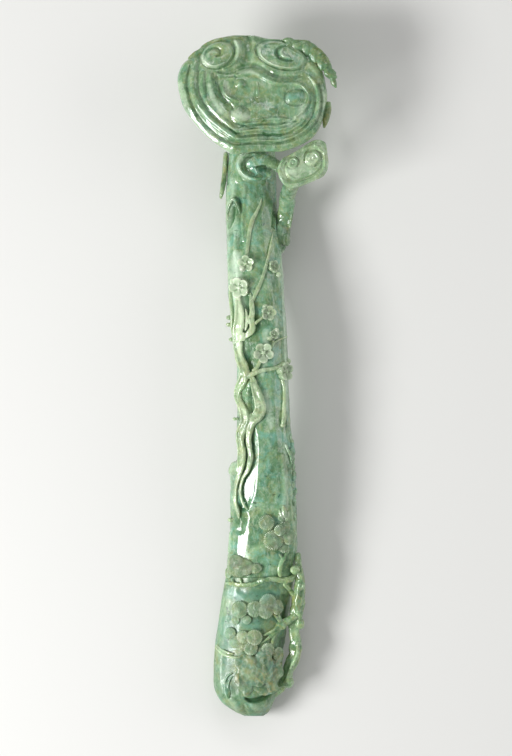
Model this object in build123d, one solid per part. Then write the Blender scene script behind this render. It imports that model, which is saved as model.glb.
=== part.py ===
from build123d import *
import math
import os

# Jade ruyi scepter lying face up: +Y from the foot to the head, +X to the right of the face, +Z up.
# The origin is under the middle of the piece, on the surface that it lies on.
# The whole piece is one carved stone. Each node is one carved element of it, cut so that it
# meets the element that carries it face to face.

# Overall sizes, millimetres
overall_length = 410.0
overall_width = 96.0
shaft_depth = 25.0
arch_rise = 19.0
ground_flat_depth = 2.0

# Head, millimetres and degrees
head_face_height = 48.5
head_tilt = 12.0
head_cap_thickness = 12.0
head_tier_thickness = 1.8
head_stalk_radius = 16.0
stalk_foot_height = 24.0
stalk_foot_share = 0.45
rim_bead_radius = 2.3
tier_bead_radius = 1.7
scroll_bead_radius = 1.5
wave_bead_radius = 2.1
boss_height = 2.6
left_boss_radius = 3.0
right_boss_radius = 4.8
lower_boss_radius = 4.5
spray_radius = 3.6
rim_leaf_radius = 1.7
right_leaf_level = -4.5

# Head outlines as shares drawn in toward its crown, levels as shares of the cap's thickness, and
# the scrolls' places, starts in degrees and turns
head_under_share = 0.30
head_bulge_share = 0.07
head_bulge_level_share = 0.72
head_rim_level_share = 0.38
head_top_share = 0.025
lower_tier_share = 0.13
upper_tier_share = 0.225
tier_slope_share = 0.012
rim_bead_share = 0.075
lower_bead_share = 0.175
upper_bead_share = 0.275
bead_end_share = 0.4
left_scroll_pixels = (218.5, 57.5)
left_scroll_reach_pixels = (15.5, 11.5)
left_scroll_start = 170.0
right_scroll_pixels = (281.0, 58.5)
right_scroll_reach_pixels = (22.0, 10.5)
right_scroll_start = 10.0
right_scroll_lean = 14.0
scroll_turns = 1.4

# Lingzhi heads on the neck, millimetres and degrees
small_cap_lean = 4.0
small_cap_swing = 8.0
small_under_share = 0.25
small_rim_level_share = 0.45
small_top_share = 0.06
small_bead_share = 0.14
small_stem_rise = 9.0
small_right_scroll_pixels = (311.5, 157.5)
small_right_reach_pixels = (8.0, 7.5)
small_left_scroll_pixels = (292.5, 164)
small_left_reach_pixels = (6.5, 6.5)
small_scroll_turns = 1.0
small_scroll_steps = 6
small_right_start = 60.0
small_left_start = 200.0
small_cap_height = 47.0
small_cap_thickness = 7.0
small_cap_bead_radius = 1.1
small_cap_stem_radius = 5.2
curl_radius = 4.3
curl_height = 37.0
curl_stem_radius = 2.1
neck_leaf_radius = 1.9

# Prunus, millimetres
prunus_branch_radius = 2.5
prunus_twig_radius = 1.25
blossom_radius = 5.4
blossom_height = 2.2
petal_share = 0.42
heart_share = 0.28
heart_rise = 0.8
bark_inset_pixels = 1.5
bud_radius = 1.4
bark_edge_radius = 2.3
knothole_lip_radius = 1.3

# Pine, millimetres
pine_branch_radius = 2.1
pine_trunk_radius = 3.9
pine_trunk_rise = 5.0
pine_twig_radius = 1.1
needle_disc_radius = 4.4
needle_disc_height = 2.0

# Foot, millimetres
rock_radius = 9.0
rock_height = 4.0
foot_scroll_radius = 1.8
foot_ridge_radius = 1.2

# How far a round run or a disc stands on what carries it, and how deep it is rooted
stand_share = 0.35
root_depth = 3.5

# Flat cuts round a run, a disc, the stalk, a thin twig and a petal, and the rise and the two
# slopes of a domed disc
run_sides = 8
disc_sides = 7
stalk_sides = 12
twig_sides = 5
petal_sides = 6
dome_rise_share = 0.6
dome_side_angle = 25.0
dome_top_angle = 62.0

# Places are read on a face-on picture of the piece, in picture units.
picture_length = 683.0
picture_width = 160.0
picture_middle_x = 258.0
picture_middle_y = 375.5
length_scale = overall_length / picture_length
width_scale = overall_width / picture_width

# Trunk of the shaft and foot, from the foot to the head: place along the picture, left and right
# edge, depth as a share of shaft_depth, and lift of the underside as a share of arch_rise
trunk_rows_pixels_and_shares = [
    (717, 245, 263, 0.30, 0.40),
    (713, 236, 268, 0.55, 0.24),
    (704, 223, 272.5, 0.85, 0.08),
    (691, 215.5, 277.5, 1.02, 0.01),
    (675, 214, 281, 1.08, 0.00),
    (650, 215.5, 284, 1.10, 0.00),
    (625, 218.5, 287, 1.08, 0.04),
    (600, 222, 290, 1.05, 0.13),
    (577, 226, 294, 1.02, 0.28),
    (545, 229.5, 297, 1.00, 0.50),
    (505, 231, 296, 0.99, 0.73),
    (470, 232.5, 294.5, 0.96, 0.89),
    (455, 237, 293, 0.94, 0.94),
    (420, 238, 290, 0.92, 1.00),
    (385, 238, 288, 0.90, 1.00),
    (350, 236.5, 287, 0.90, 0.95),
    (320, 232, 285.5, 0.92, 0.85),
    (290, 228.5, 283.5, 0.95, 0.69),
    (250, 228, 281, 0.95, 0.44),
    (215, 226, 277, 0.95, 0.21),
    (180, 227, 276, 0.97, 0.05),
    (160, 228, 275, 1.00, 0.00),
    (140, 230, 273, 1.02, 0.07),
    (122, 232, 272, 1.00, 0.34),
    (106, 235, 270, 0.88, 0.74),
    (94, 241, 264, 0.55, 1.12),
]
foot_start_pixel = 577


def along(picture_y):
    """Place along the piece of a picture place."""
    return (picture_middle_y - picture_y) * length_scale


def across(picture_x):
    """Place across the piece of a picture place."""
    return (picture_x - picture_middle_x) * width_scale


def between(low, high, share):
    """Value at a share of the way from low to high."""
    return low + (high - low) * share


def trunk_at(picture_y):
    """Middle, half width, spine height and half depth of the trunk at one place along it."""
    rows = trunk_rows_pixels_and_shares
    picture_y = min(max(picture_y, rows[-1][0]), rows[0][0])
    for lower, upper in zip(rows, rows[1:]):
        if upper[0] <= picture_y:
            share = (lower[0] - picture_y) / (lower[0] - upper[0])
            left, right, depth_share, lift_share = [
                between(lower[i], upper[i], share) for i in range(1, len(lower))
            ]
            break
    half_depth = shaft_depth * depth_share / 2
    underside = arch_rise * lift_share - ground_flat_depth
    middle = (across(left) + across(right)) / 2
    half_width = (across(right) - across(left)) / 2
    return middle, half_width, underside + half_depth, half_depth


def skin_plane(picture_x, picture_y, lift=0.0):
    """Plane on the trunk's upper skin, its normal pointing out of the stone."""
    middle, half_width, spine, half_depth = trunk_at(picture_y)
    edge_share = 0.97
    share = min(max((across(picture_x) - middle) / half_width, -edge_share), edge_share)
    crown_share = math.sqrt(1 - share ** 2)
    surface = Vector(middle + half_width * share, along(picture_y), spine + half_depth * crown_share)
    normal = Vector(share / half_width, 0, crown_share / half_depth).normalized()
    return Plane(origin=surface + normal * lift, x_dir=Vector(0, 1, 0), z_dir=normal)


def skin(picture_x, picture_y, lift=0.0):
    """Point above the trunk's upper skin."""
    return skin_plane(picture_x, picture_y, lift).origin


def beside(picture_x, picture_y, rise=0.0):
    """Point in the air beside the trunk, at a height above its spine."""
    return Vector(across(picture_x), along(picture_y), trunk_at(picture_y)[2] + rise)


def bead(points, radii, sides=run_sides, up=Vector(0, 0, 1)):
    """Knotted run through points, with a radius at each and a section of a few flat cuts."""
    sections = []
    last = len(points) - 1
    for i, point in enumerate(points):
        heading = points[min(i + 1, last)] - points[max(i - 1, 0)]
        plane = Plane(origin=point, x_dir=heading.cross(up), z_dir=heading)
        sections.append(plane * RegularPolygon(radii[i], sides))
    return loft(sections, ruled=True)


def skin_run(rows, radius, sides=run_sides):
    """Run along the trunk's skin through rows of picture place and share of the radius."""
    points = [skin(x, y, radius * share * stand_share) for x, y, share in rows]
    return bead(points, [radius * share for x, y, share in rows], sides)


def dome(radius, height, root, sides=disc_sides):
    """Round boss with a bevelled top of flat cuts, on a straight root where it has one."""
    outline = RegularPolygon(radius, sides)
    rise = height * dome_rise_share
    crown = RegularPolygon(radius - rise * math.tan(math.radians(dome_side_angle)), sides)
    boss = extrude(outline, rise, taper=dome_side_angle)
    boss = boss + Pos(0, 0, rise) * extrude(crown, height - rise, taper=dome_top_angle)
    if root:
        boss = boss + extrude(outline, -root)
    return boss


def skin_dome(picture_x, picture_y, radius, height):
    """Domed disc seated on the trunk's skin."""
    return skin_plane(picture_x, picture_y).location * dome(radius, height, root_depth)


def seat(shape, *hosts):
    """Cut a shape by what carries it, so that the two meet face to face, and drop crumbs."""
    for host in hosts:
        shape = shape - host
    solids = shape.solids()
    largest = max(solid.volume for solid in solids)
    crumb_share = 0.02
    return Compound([solid for solid in solids if solid.volume > largest * crumb_share])


# The trunk is lofted as one form, ground flat where it lies, and parted at the foot.
def trunk_sections():
    """Elliptical sections of the trunk from the foot to the head."""
    sections = []
    for row in trunk_rows_pixels_and_shares:
        middle, half_width, spine, half_depth = trunk_at(row[0])
        plane = Plane(origin=(middle, along(row[0]), spine), x_dir=(1, 0, 0), z_dir=(0, 1, 0))
        sections.append(plane * Ellipse(half_width, half_depth))
    return sections


def half_space(picture_y, toward_head):
    """Block that holds everything on one side of a place along the piece."""
    ahead = (Align.CENTER, Align.MIN, Align.CENTER)
    block = Box(overall_length, overall_length, overall_length, align=ahead)
    if not toward_head:
        block = block.rotate(Axis.Z, 180)
    return Pos(0, along(picture_y), 0) * block


under = (Align.CENTER, Align.CENTER, Align.MAX)
ground = Box(overall_length, 2 * overall_length, shaft_depth, align=under)
trunk = loft(trunk_sections(), ruled=True) - ground
shaft_trunk = trunk & half_space(foot_start_pixel, True)
foot_stump = trunk & half_space(foot_start_pixel, False)

nodes = {"shaft_trunk": shaft_trunk, "foot_stump": foot_stump}

# Head cap: a crowned lingzhi head, tilted so that its near edge stands over the neck
head_middle_pixels = (252.0, 95.5)
head_crown_pixels = (258.0, 58.0)
head_outline_pixels = [
    (236, 155), (222, 148.5), (209, 138.5), (196, 125.5), (185, 110), (179, 94), (177, 81),
    (179, 70), (196, 54.5), (217, 40), (233, 36), (254, 36.5), (281, 40), (305, 51), (318, 64),
    (325, 80), (327, 98), (324, 115), (314, 136), (300, 146), (280, 152.5), (256, 153),
]


def tilted_plane(middle_pixels, height, lean, swing=0.0):
    """Face plane of a cap: lean tips its far edge down, swing tips its right edge down."""
    lean, swing = math.radians(lean), math.radians(swing)
    normal = Vector(math.sin(swing), math.sin(lean), math.cos(lean))
    origin = Vector(across(middle_pixels[0]), along(middle_pixels[1]), height)
    return Plane(origin=origin, x_dir=Vector(0, 1, 0).cross(normal), z_dir=normal)


def face_point(plane, picture_x, picture_y, level=0.0):
    """Point of a cap at a picture place, at a level above the cap's face plane."""
    normal = plane.z_dir
    x = across(picture_x) - plane.origin.X
    y = along(picture_y) - plane.origin.Y
    z = -(x * normal.X + y * normal.Y) / normal.Z
    return plane.origin + Vector(x, y, z) + normal * level


def drawn_in(place, crown, shrink_share):
    """Picture place moved toward the crown of its outline by a share."""
    return between(place[0], crown[0], shrink_share), between(place[1], crown[1], shrink_share)


def arc_outline(plane, pixels, crown, shrink_share, level):
    """Closed outline of arcs, each through three of an even number of places."""
    points = [face_point(plane, *drawn_in(place, crown, shrink_share), level) for place in pixels]
    count = len(points)
    arcs = [
        ThreePointArc(points[i], points[i + 1], points[(i + 2) % count])
        for i in range(0, count, 2)
    ]
    return make_face(arcs)


def cap(plane, pixels, crown, levels):
    """Solid through drawn-in outlines at several levels."""
    outlines = [arc_outline(plane, pixels, crown, shrink, level) for shrink, level in levels]
    return loft(outlines, ruled=True)


def below(plane, level):
    """Everything below a level of a cap's face plane."""
    block = Box(overall_length, overall_length, overall_length, align=under)
    return plane.location * Pos(0, 0, level) * block


def face_run(plane, rows, radius, level, bed=True, sides=run_sides):
    """Half-round run on a cap's face through rows of picture place and share of the radius."""
    points = [face_point(plane, x, y, level + radius * share * stand_share) for x, y, share in rows]
    run = bead(points, [radius * share for x, y, share in rows], sides)
    return seat(run, below(plane, level)) if bed else run


def face_dome(plane, picture_x, picture_y, radius, height, level):
    """Round boss on a cap's face."""
    origin = face_point(plane, picture_x, picture_y, level)
    place = Plane(origin=origin, x_dir=plane.x_dir, z_dir=plane.z_dir)
    return place.location * dome(radius, height, 0)


def rim_rows(pixels, crown, shrink_share, first, last, end_share):
    """Part of an outline, drawn in, as rows that thin out at both ends."""
    rows = []
    for i in range(first, last + 1):
        place = drawn_in(pixels[i % len(pixels)], crown, shrink_share)
        rows.append((*place, min(1.0, end_share * (1 + min(i - first, last - i)))))
    return rows


def scroll_rows(middle, reach, lean, start, turns, direction, steps_per_turn=9):
    """Rows of an oval spiral that winds inward from its outer edge."""
    steps = round(turns * steps_per_turn)
    inward_share = 0.8
    end_share = 0.6
    end_steps = 2
    rows = []
    for i in range(steps + 1):
        turn = math.radians(start) + direction * 2 * math.pi * i / steps_per_turn
        shrink = 1 - inward_share * i / steps
        spoke = Vector(reach[0] * shrink * math.cos(turn), reach[1] * shrink * math.sin(turn), 0)
        place = Vector(*middle, 0) + spoke.rotate(Axis.Z, lean)
        full_share = min(1.0, end_share + (1 - end_share) * min(i, steps - i) / end_steps)
        rows.append((place.X, place.Y, full_share))
    return rows


head_plane = tilted_plane(head_middle_pixels, head_face_height, head_tilt)
head_levels = [
    (head_under_share, -head_cap_thickness),
    (head_bulge_share, -head_cap_thickness * head_bulge_level_share),
    (0.0, -head_cap_thickness * head_rim_level_share),
    (head_top_share, 0),
]
head_cap = cap(head_plane, head_outline_pixels, head_crown_pixels, head_levels)
face_level = 2 * head_tier_thickness
head_lower_tier = cap(head_plane, head_outline_pixels, head_crown_pixels, [
    (lower_tier_share, 0),
    (lower_tier_share + tier_slope_share, head_tier_thickness),
])
head_upper_tier = cap(head_plane, head_outline_pixels, head_crown_pixels, [
    (upper_tier_share, head_tier_thickness),
    (upper_tier_share + tier_slope_share, face_level),
])

# The stalk flares from inside the trunk's end to the underside of the head.
stalk_top = head_plane.location * Pos(0, 0, -head_cap_thickness)
stalk_foot = Pos(head_plane.origin.X, head_plane.origin.Y, stalk_foot_height)
head_stalk = loft([
    stalk_foot * RegularPolygon(head_stalk_radius * stalk_foot_share, stalk_sides),
    stalk_top * RegularPolygon(head_stalk_radius, stalk_sides),
], ruled=True)
head_stalk = seat(head_stalk, trunk)
nodes["head_stalk"] = head_stalk
nodes["head_cap"] = head_cap
nodes["head_lower_tier"] = head_lower_tier
nodes["head_upper_tier"] = head_upper_tier

# Beads that follow the rim up the right side, round the near edge and down the left side, each
# from one place of the head's outline to another that lies past its first place
right_start = 15
upper_right_start = 17
left_end = 7 + len(head_outline_pixels)
rim_left_end = left_end + 1
for name, shrink_share, first, last, radius, level, tier_above in [
    ("head_rim_bead", rim_bead_share, right_start, rim_left_end, rim_bead_radius, 0, head_lower_tier),
    ("head_lower_bead", lower_bead_share, right_start, left_end, tier_bead_radius, head_tier_thickness,
     head_upper_tier),
    ("head_upper_bead", upper_bead_share, upper_right_start, left_end, tier_bead_radius, face_level,
     ground),
]:
    rows = rim_rows(head_outline_pixels, head_crown_pixels, shrink_share, first, last, bead_end_share)
    nodes[name] = seat(face_run(head_plane, rows, radius, level), tier_above)

# Two oval scrolls wind inward on the far half of the head's face.
left_scroll = scroll_rows(
    left_scroll_pixels, left_scroll_reach_pixels, 0, left_scroll_start, scroll_turns, 1,
)
right_scroll = scroll_rows(
    right_scroll_pixels, right_scroll_reach_pixels, right_scroll_lean, right_scroll_start, scroll_turns,
    -1,
)
nodes["head_scroll_left"] = face_run(head_plane, left_scroll, scroll_bead_radius, face_level)
nodes["head_scroll_right"] = face_run(head_plane, right_scroll, scroll_bead_radius, face_level)

# A wave under the scrolls runs into a crescent round the right boss, with a ripple below it.
wave_pixels_and_shares = [
    (229, 80, 0.5), (238, 76, 0.9), (248, 75, 1.1), (259, 77, 1.0), (268, 82, 0.9), (278, 85.5, 0.8),
    (290, 86, 0.8), (300, 86.5, 0.8), (307, 92, 0.9), (307, 102, 1.0), (303, 111, 1.0), (295, 117, 0.6),
]
ripple_pixels_and_shares = [
    (233, 119, 0.5), (241, 123, 0.9), (251, 122, 1.0), (262, 119.5, 0.9), (273, 121, 0.9),
    (284, 121.5, 0.5),
]
wave = face_run(head_plane, wave_pixels_and_shares, wave_bead_radius, face_level)
ripple = face_run(head_plane, ripple_pixels_and_shares, tier_bead_radius, face_level)
nodes["head_wave"] = seat(wave, nodes["head_upper_bead"])
nodes["head_ripple"] = seat(ripple, nodes["head_upper_bead"])
boss_pixels = [(240, 89), (292, 99), (245, 108)]
boss_radii = [left_boss_radius, right_boss_radius, lower_boss_radius]
nodes["head_bosses"] = Compound([
    face_dome(head_plane, *place, radius, boss_height, face_level)
    for place, radius in zip(boss_pixels, boss_radii)
])

# Leaves that lie on the head's rim and reach past it
spray_pixels_and_shares = [
    (289, 44, 0.5), (297, 43, 0.75), (305, 45, 1.0), (312, 48, 0.85), (318, 52, 1.0), (323.5, 58, 0.85),
    (327.5, 64, 0.95), (331, 71, 0.7), (334, 78, 0.5), (336, 84, 0.25),
]
left_leaf_pixels_and_shares = [
    (192, 60, 0.5), (201, 52, 0.9), (213, 43, 1.1), (226, 38.5, 1.1), (240, 38, 0.5),
]
right_leaf_pixels_and_shares = [(328, 101, 0.5), (329, 110, 1.0), (327, 120, 1.1), (323, 128, 0.5)]
spray = face_run(head_plane, spray_pixels_and_shares, spray_radius, 0)
left_leaf = face_run(head_plane, left_leaf_pixels_and_shares, rim_leaf_radius, 0)
right_leaf = face_run(
    head_plane, right_leaf_pixels_and_shares, rim_leaf_radius, right_leaf_level, bed=False,
)
nodes["rim_spray"] = seat(spray, head_lower_tier, head_upper_tier, nodes["head_scroll_right"])
nodes["rim_leaf_left"] = seat(left_leaf, nodes["head_rim_bead"], head_lower_tier)
nodes["rim_leaf_right"] = seat(right_leaf, head_cap)

# Small lingzhi head to the right of the neck, with its own scrolls, carried by a stem on the trunk
small_cap_outline_pixels = [
    (277.5, 171), (279, 164), (285, 157.5), (296, 151.5), (307, 144), (315, 140.3), (322, 141),
    (326, 147), (328, 158), (328, 169), (320, 179), (306, 184.5), (294, 189), (283, 184.5),
]
small_crown_pixels = (303, 164)
small_plane = tilted_plane(small_crown_pixels, small_cap_height, small_cap_lean, small_cap_swing)
small_cap = cap(small_plane, small_cap_outline_pixels, small_crown_pixels, [
    (small_under_share, -small_cap_thickness),
    (0.0, -small_cap_thickness * small_rim_level_share),
    (small_top_share, 0),
])
small_bead_start = 8
small_bead_end = 17
small_runs = [
    rim_rows(
        small_cap_outline_pixels, small_crown_pixels, small_bead_share, small_bead_start, small_bead_end,
        bead_end_share,
    ),
    scroll_rows(
        small_right_scroll_pixels, small_right_reach_pixels, 0, small_right_start, small_scroll_turns, -1,
        small_scroll_steps,
    ),
    scroll_rows(
        small_left_scroll_pixels, small_left_reach_pixels, 0, small_left_start, small_scroll_turns, 1,
        small_scroll_steps,
    ),
]
small_boss_pixels = (317, 145.5)
small_boss = face_dome(small_plane, *small_boss_pixels, small_cap_bead_radius, small_cap_bead_radius, 0)
nodes["small_lingzhi_cap"] = small_cap
nodes["small_lingzhi_scrolls"] = Compound([
    face_run(small_plane, rows, small_cap_bead_radius, 0, sides=twig_sides) for rows in small_runs
] + [small_boss])

# Places of the stem with the share of its radius and of its rise above the trunk's spine
small_stem_top_pixels = (293, 178)
small_stem_top_share = 0.9
small_stem_pixels_and_shares = [
    (289, 190, 1.1, 1.0), (287, 203, 1.0, 0.6), (284.5, 216, 1.0, 0.4), (281.5, 229, 1.1, 0.3),
    (280.5, 240, 1.0, 0.2), (276, 252, 0.5, 0.2),
]
small_stem_points = [face_point(small_plane, *small_stem_top_pixels, -small_cap_thickness)]
small_stem_radii = [small_cap_stem_radius * small_stem_top_share]
for x, y, share, rise_share in small_stem_pixels_and_shares:
    small_stem_points.append(beside(x, y, small_stem_rise * rise_share))
    small_stem_radii.append(small_cap_stem_radius * share)
nodes["small_lingzhi_stem"] = seat(bead(small_stem_points, small_stem_radii), small_cap, trunk)

# Curled lingzhi seen from the side, below the head's near edge, with the hook of its stem
curl_pixels_and_shares = [
    (262, 156, 0.45), (255, 154.5, 0.8), (247, 156, 1.0), (240.5, 161, 1.0), (239, 168, 1.0),
    (244, 174.5, 0.95), (252, 177.5, 0.8), (261, 177, 0.45),
]
curl_points = [Vector(across(x), along(y), curl_height) for x, y, share in curl_pixels_and_shares]
curl = bead(curl_points, [curl_radius * share for x, y, share in curl_pixels_and_shares])

# The stem springs over from the curl, then dips into the trunk: share of its radius, and its
# height above the curl's middle or above the trunk's skin, in stem radii.
curl_stem_pixels_and_shares = [
    (245, 168, 1.0, 0.0), (256, 163, 1.1, 1.0), (264, 160, 1.2, 1.0), (271, 163.5, 1.1, 0.0),
]
curl_stem_foot_pixels_and_shares = [(275, 171, 1.0, 2.0), (274, 179, 0.9, -1.0)]
curl_stem_points = []
for x, y, share, rise_share in curl_stem_pixels_and_shares:
    curl_stem_points.append(Vector(across(x), along(y), curl_height + curl_stem_radius * rise_share))
for x, y, share, rise_share in curl_stem_foot_pixels_and_shares:
    curl_stem_points.append(skin(x, y, curl_stem_radius * rise_share))
curl_stem_rows = curl_stem_pixels_and_shares + curl_stem_foot_pixels_and_shares
curl_stem_radii = [curl_stem_radius * share for x, y, share, rise_share in curl_stem_rows]
curl_stem = seat(bead(curl_stem_points, curl_stem_radii), curl, trunk)

# The root drops from the curl straight into the trunk.
curl_root_pixels = [(242, 165), (246, 170), (249, 176)]
curl_root_shares = [0.7, 0.8, 0.9]
curl_root_points = [
    Vector(across(curl_root_pixels[0][0]), along(curl_root_pixels[0][1]), curl_height),
    skin(*curl_root_pixels[1], curl_stem_radius),
    skin(*curl_root_pixels[2], -root_depth),
]
curl_root = bead(curl_root_points, [curl_radius * share for share in curl_root_shares])
nodes["curled_lingzhi"] = curl
nodes["curled_lingzhi_stem"] = curl_stem
nodes["curled_lingzhi_root"] = seat(curl_root, curl, trunk, curl_stem)
neck_leaf_pixels_and_shares = [
    (226, 156, 0.7), (225.5, 166, 1.0), (224.5, 178, 1.0), (223, 189, 0.9), (221, 198, 0.4),
]
neck_leaf_points = [beside(x, y, neck_leaf_radius) for x, y, share in neck_leaf_pixels_and_shares]
neck_leaf_radii = [neck_leaf_radius * share for x, y, share in neck_leaf_pixels_and_shares]
nodes["neck_leaf"] = seat(bead(neck_leaf_points, neck_leaf_radii), trunk)

# Prunus: branches that climb and cross on the trunk
main_branch_pixels_and_shares = [
    (240, 297, 0.7), (240, 311, 0.9), (241.5, 325, 1.05), (242.5, 338, 1.15), (243.5, 350, 0.95),
    (246, 362, 0.95), (248.5, 374, 1.1), (243, 385, 1.0), (240, 396, 0.9), (242.5, 408, 0.9),
    (246, 419, 1.0), (245.5, 429, 1.1), (243, 438, 1.0), (243, 452, 0.9), (242, 466, 0.85),
    (238.5, 480, 0.75), (237, 495, 0.6), (239, 509, 0.35),
]
upper_branch_pixels_and_shares = [
    (251, 300, 0.6), (251.5, 311, 0.8), (252.5, 322, 0.95), (250.5, 331, 1.0), (246, 338, 0.8),
]
right_strand_pixels_and_shares = [
    (253, 379, 0.7), (259.5, 391, 0.8), (264.5, 404, 0.9), (264, 412, 0.95), (257.5, 424, 0.8),
    (253, 433, 0.8), (251.5, 445, 0.75), (252, 458, 0.7), (248, 470, 0.6), (242.5, 481, 0.5),
]
side_branch_pixels_and_shares = [
    (251, 374.5, 0.75), (258, 370, 0.75), (266, 368, 0.65), (274, 366, 0.6), (280, 364, 0.55),
]
edge_branch_pixels_and_shares = [
    (231.5, 300, 0.5), (232.5, 316, 0.7), (234, 332, 0.7), (237, 348, 0.65), (238.5, 364, 0.4),
]
stalk_pixels_and_shares = [(284, 380, 0.7), (283.5, 394, 0.85), (283.5, 408, 0.95), (282.5, 421, 0.5)]
main_branch = seat(skin_run(main_branch_pixels_and_shares, prunus_branch_radius), trunk)
upper_branch = seat(skin_run(upper_branch_pixels_and_shares, prunus_branch_radius), trunk, main_branch)
right_strand = seat(skin_run(right_strand_pixels_and_shares, prunus_branch_radius), trunk, main_branch)
side_branch = skin_run(side_branch_pixels_and_shares, prunus_branch_radius)
side_branch = seat(side_branch, trunk, main_branch, right_strand)
edge_branch = seat(skin_run(edge_branch_pixels_and_shares, prunus_branch_radius), trunk, main_branch)
bud_stalk = seat(skin_run(stalk_pixels_and_shares, prunus_branch_radius), trunk)
nodes["prunus_main_branch"] = main_branch
nodes["prunus_upper_branch"] = upper_branch
nodes["prunus_right_strand"] = right_strand
nodes["prunus_side_branch"] = side_branch
nodes["prunus_edge_branch"] = edge_branch
nodes["prunus_bud_stalk"] = bud_stalk

left_twig_pixels_and_shares = [
    (261, 199, 0.6), (257, 207, 1.0), (253, 217, 1.0), (250.5, 228, 1.0), (249.5, 240, 1.0),
    (248, 256, 0.9),
]
right_twig_pixels_and_shares = [
    (272.5, 225, 0.5), (271, 240, 1.0), (269.5, 252, 1.0), (265, 267, 1.1), (261, 282, 1.1),
    (255.5, 293, 1.2),
]
blossom_twig_pixels_and_shares = [
    [(256, 328, 1.0), (260, 321, 0.8), (264, 316, 0.7)],
    [(275, 343, 0.8), (281, 339, 0.8), (286, 337, 1.0)],
    [(255, 367, 0.8), (258, 361, 0.9), (261, 356, 0.8)],
]
left_twig = seat(skin_run(left_twig_pixels_and_shares, prunus_twig_radius, twig_sides), trunk)
right_twig = seat(skin_run(right_twig_pixels_and_shares, prunus_twig_radius, twig_sides), trunk)
nodes["prunus_left_twig"] = left_twig
nodes["prunus_right_twig"] = right_twig
nodes["prunus_blossom_twigs"] = seat(
    Compound([skin_run(rows, prunus_twig_radius, twig_sides) for rows in blossom_twig_pixels_and_shares]),
    trunk, upper_branch, side_branch)

petals_per_blossom = 5
blossom_pixels_and_shares = [
    (246, 262, 0.68), (275, 268, 0.62), (240, 287, 0.95), (267, 312, 0.74), (274, 332, 0.6),
    (263, 352, 1.0), (283, 371, 0.95),
]


def blossom(radius):
    """Open blossom: five round petals about a raised heart, on a short root."""
    petal = extrude(RegularPolygon(radius * petal_share, petal_sides), blossom_height + root_depth)
    heart_height = blossom_height + root_depth + heart_rise
    flower = extrude(RegularPolygon(radius * heart_share, petals_per_blossom), heart_height)
    for i in range(petals_per_blossom):
        turn = Rot(0, 0, 360 * i / petals_per_blossom)
        flower = flower + turn * Pos(radius * (1 - petal_share), 0, 0) * petal
    return Pos(0, 0, -root_depth) * flower


carriers = [
    main_branch, upper_branch, right_strand, side_branch, edge_branch, bud_stalk, left_twig, right_twig,
    nodes["prunus_blossom_twigs"],
]


def near(shape, hosts):
    """Hosts whose box meets the shape's box."""
    box = shape.bounding_box()
    found = []
    for host in hosts:
        other = host.bounding_box()
        apart = any([
            other.max.X < box.min.X, other.min.X > box.max.X, other.max.Y < box.min.Y,
            other.min.Y > box.max.Y, other.max.Z < box.min.Z, other.min.Z > box.max.Z])
        if not apart:
            found.append(host)
    return found


blossoms = []
for x, y, share in blossom_pixels_and_shares:
    flower = skin_plane(x, y).location * blossom(blossom_radius * share)
    blossoms += seat(flower, trunk, *near(flower, carriers)).solids()
nodes["prunus_blossoms"] = Compound(blossoms)

# Buds and thorns along the left edge, and the knotted bark along the right edge
bud_places_pixels = [(229, 316), (230, 325), (231.5, 340), (235, 419), (231, 521)]
buds = []
for x, y in bud_places_pixels:
    middle, half_width, spine, half_depth = trunk_at(y)
    point = Vector(across(x), along(y), spine)
    bud_points = [point + Vector(bud_radius * 2, 0, 0), point, point - Vector(bud_radius, 0, 0)]
    bud = bead(bud_points, [bud_radius, bud_radius, bud_radius / 2], twig_sides)
    buds += seat(bud, trunk, *near(bud, carriers)).solids()
nodes["edge_buds"] = Compound(buds)
bark_pixels_and_shares = [
    (291, 440, 0.6), (292.5, 451, 0.95), (295, 462, 0.75), (294, 473, 1.0), (295, 484, 0.75),
    (295.5, 495, 1.0), (295.5, 506, 0.75), (295.5, 517, 1.0), (296, 529, 0.75), (296, 541, 0.6),
]
bark_points = [
    beside(x - bark_inset_pixels, y, bark_edge_radius) for x, y, share in bark_pixels_and_shares
]
bark_radii = [bark_edge_radius * share for x, y, share in bark_pixels_and_shares]
bark_edge = seat(bead(bark_points, bark_radii), trunk)
nodes["bark_edge"] = bark_edge
lip_pixels_and_shares = [
    (231, 213, 0.6), (231.5, 205, 1.0), (233.5, 200, 1.0), (237, 200.5, 1.0), (239.5, 205, 1.0),
    (241, 213, 0.6),
]
nodes["knothole_lip"] = seat(skin_run(lip_pixels_and_shares, knothole_lip_radius, twig_sides), trunk)

# Pine: a branch laid across the trunk, an openwork stem down the right side, and its twigs
cross_pixels_and_shares = [
    (227, 583, 0.6), (236, 585, 0.85), (246, 586, 0.9), (257, 584, 1.0), (267, 580, 1.1), (279, 580, 1.1),
    (289, 577, 1.2),
]
cross_branch = skin_run(cross_pixels_and_shares, pine_branch_radius)
pine_stem_pixels_and_shares = [
    (300, 556, 0.65, 0.4), (300.5, 567, 0.85, 0.9), (300.5, 579, 0.95, 1.0), (299.5, 592, 1.05, 1.0),
    (298.5, 604, 1.15, 0.9), (297.5, 615, 1.1, 0.8), (294, 626, 1.0, 0.6), (295.5, 638, 0.95, 0.6),
    (295.5, 650, 1.05, 0.6), (291, 662, 1.1, 0.5), (287, 673, 1.1, 0.3), (284.5, 684, 1.2, 0.1),
    (277, 692, 1.1, 0.0),
]
pine_stem_points = []
pine_stem_radii = []
for x, y, share, rise_share in pine_stem_pixels_and_shares:
    pine_stem_points.append(beside(x, y, pine_trunk_rise * rise_share))
    pine_stem_radii.append(pine_trunk_radius * share)
pine_stem = seat(bead(pine_stem_points, pine_stem_radii), trunk, ground)
nodes["pine_stem"] = pine_stem
nodes["pine_cross_branch"] = seat(cross_branch, trunk, pine_stem)
limb_pixels = [(283, 585), (289, 591), (297, 600)]
limb_shares = [0.8, 1.0, 1.2]
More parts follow.
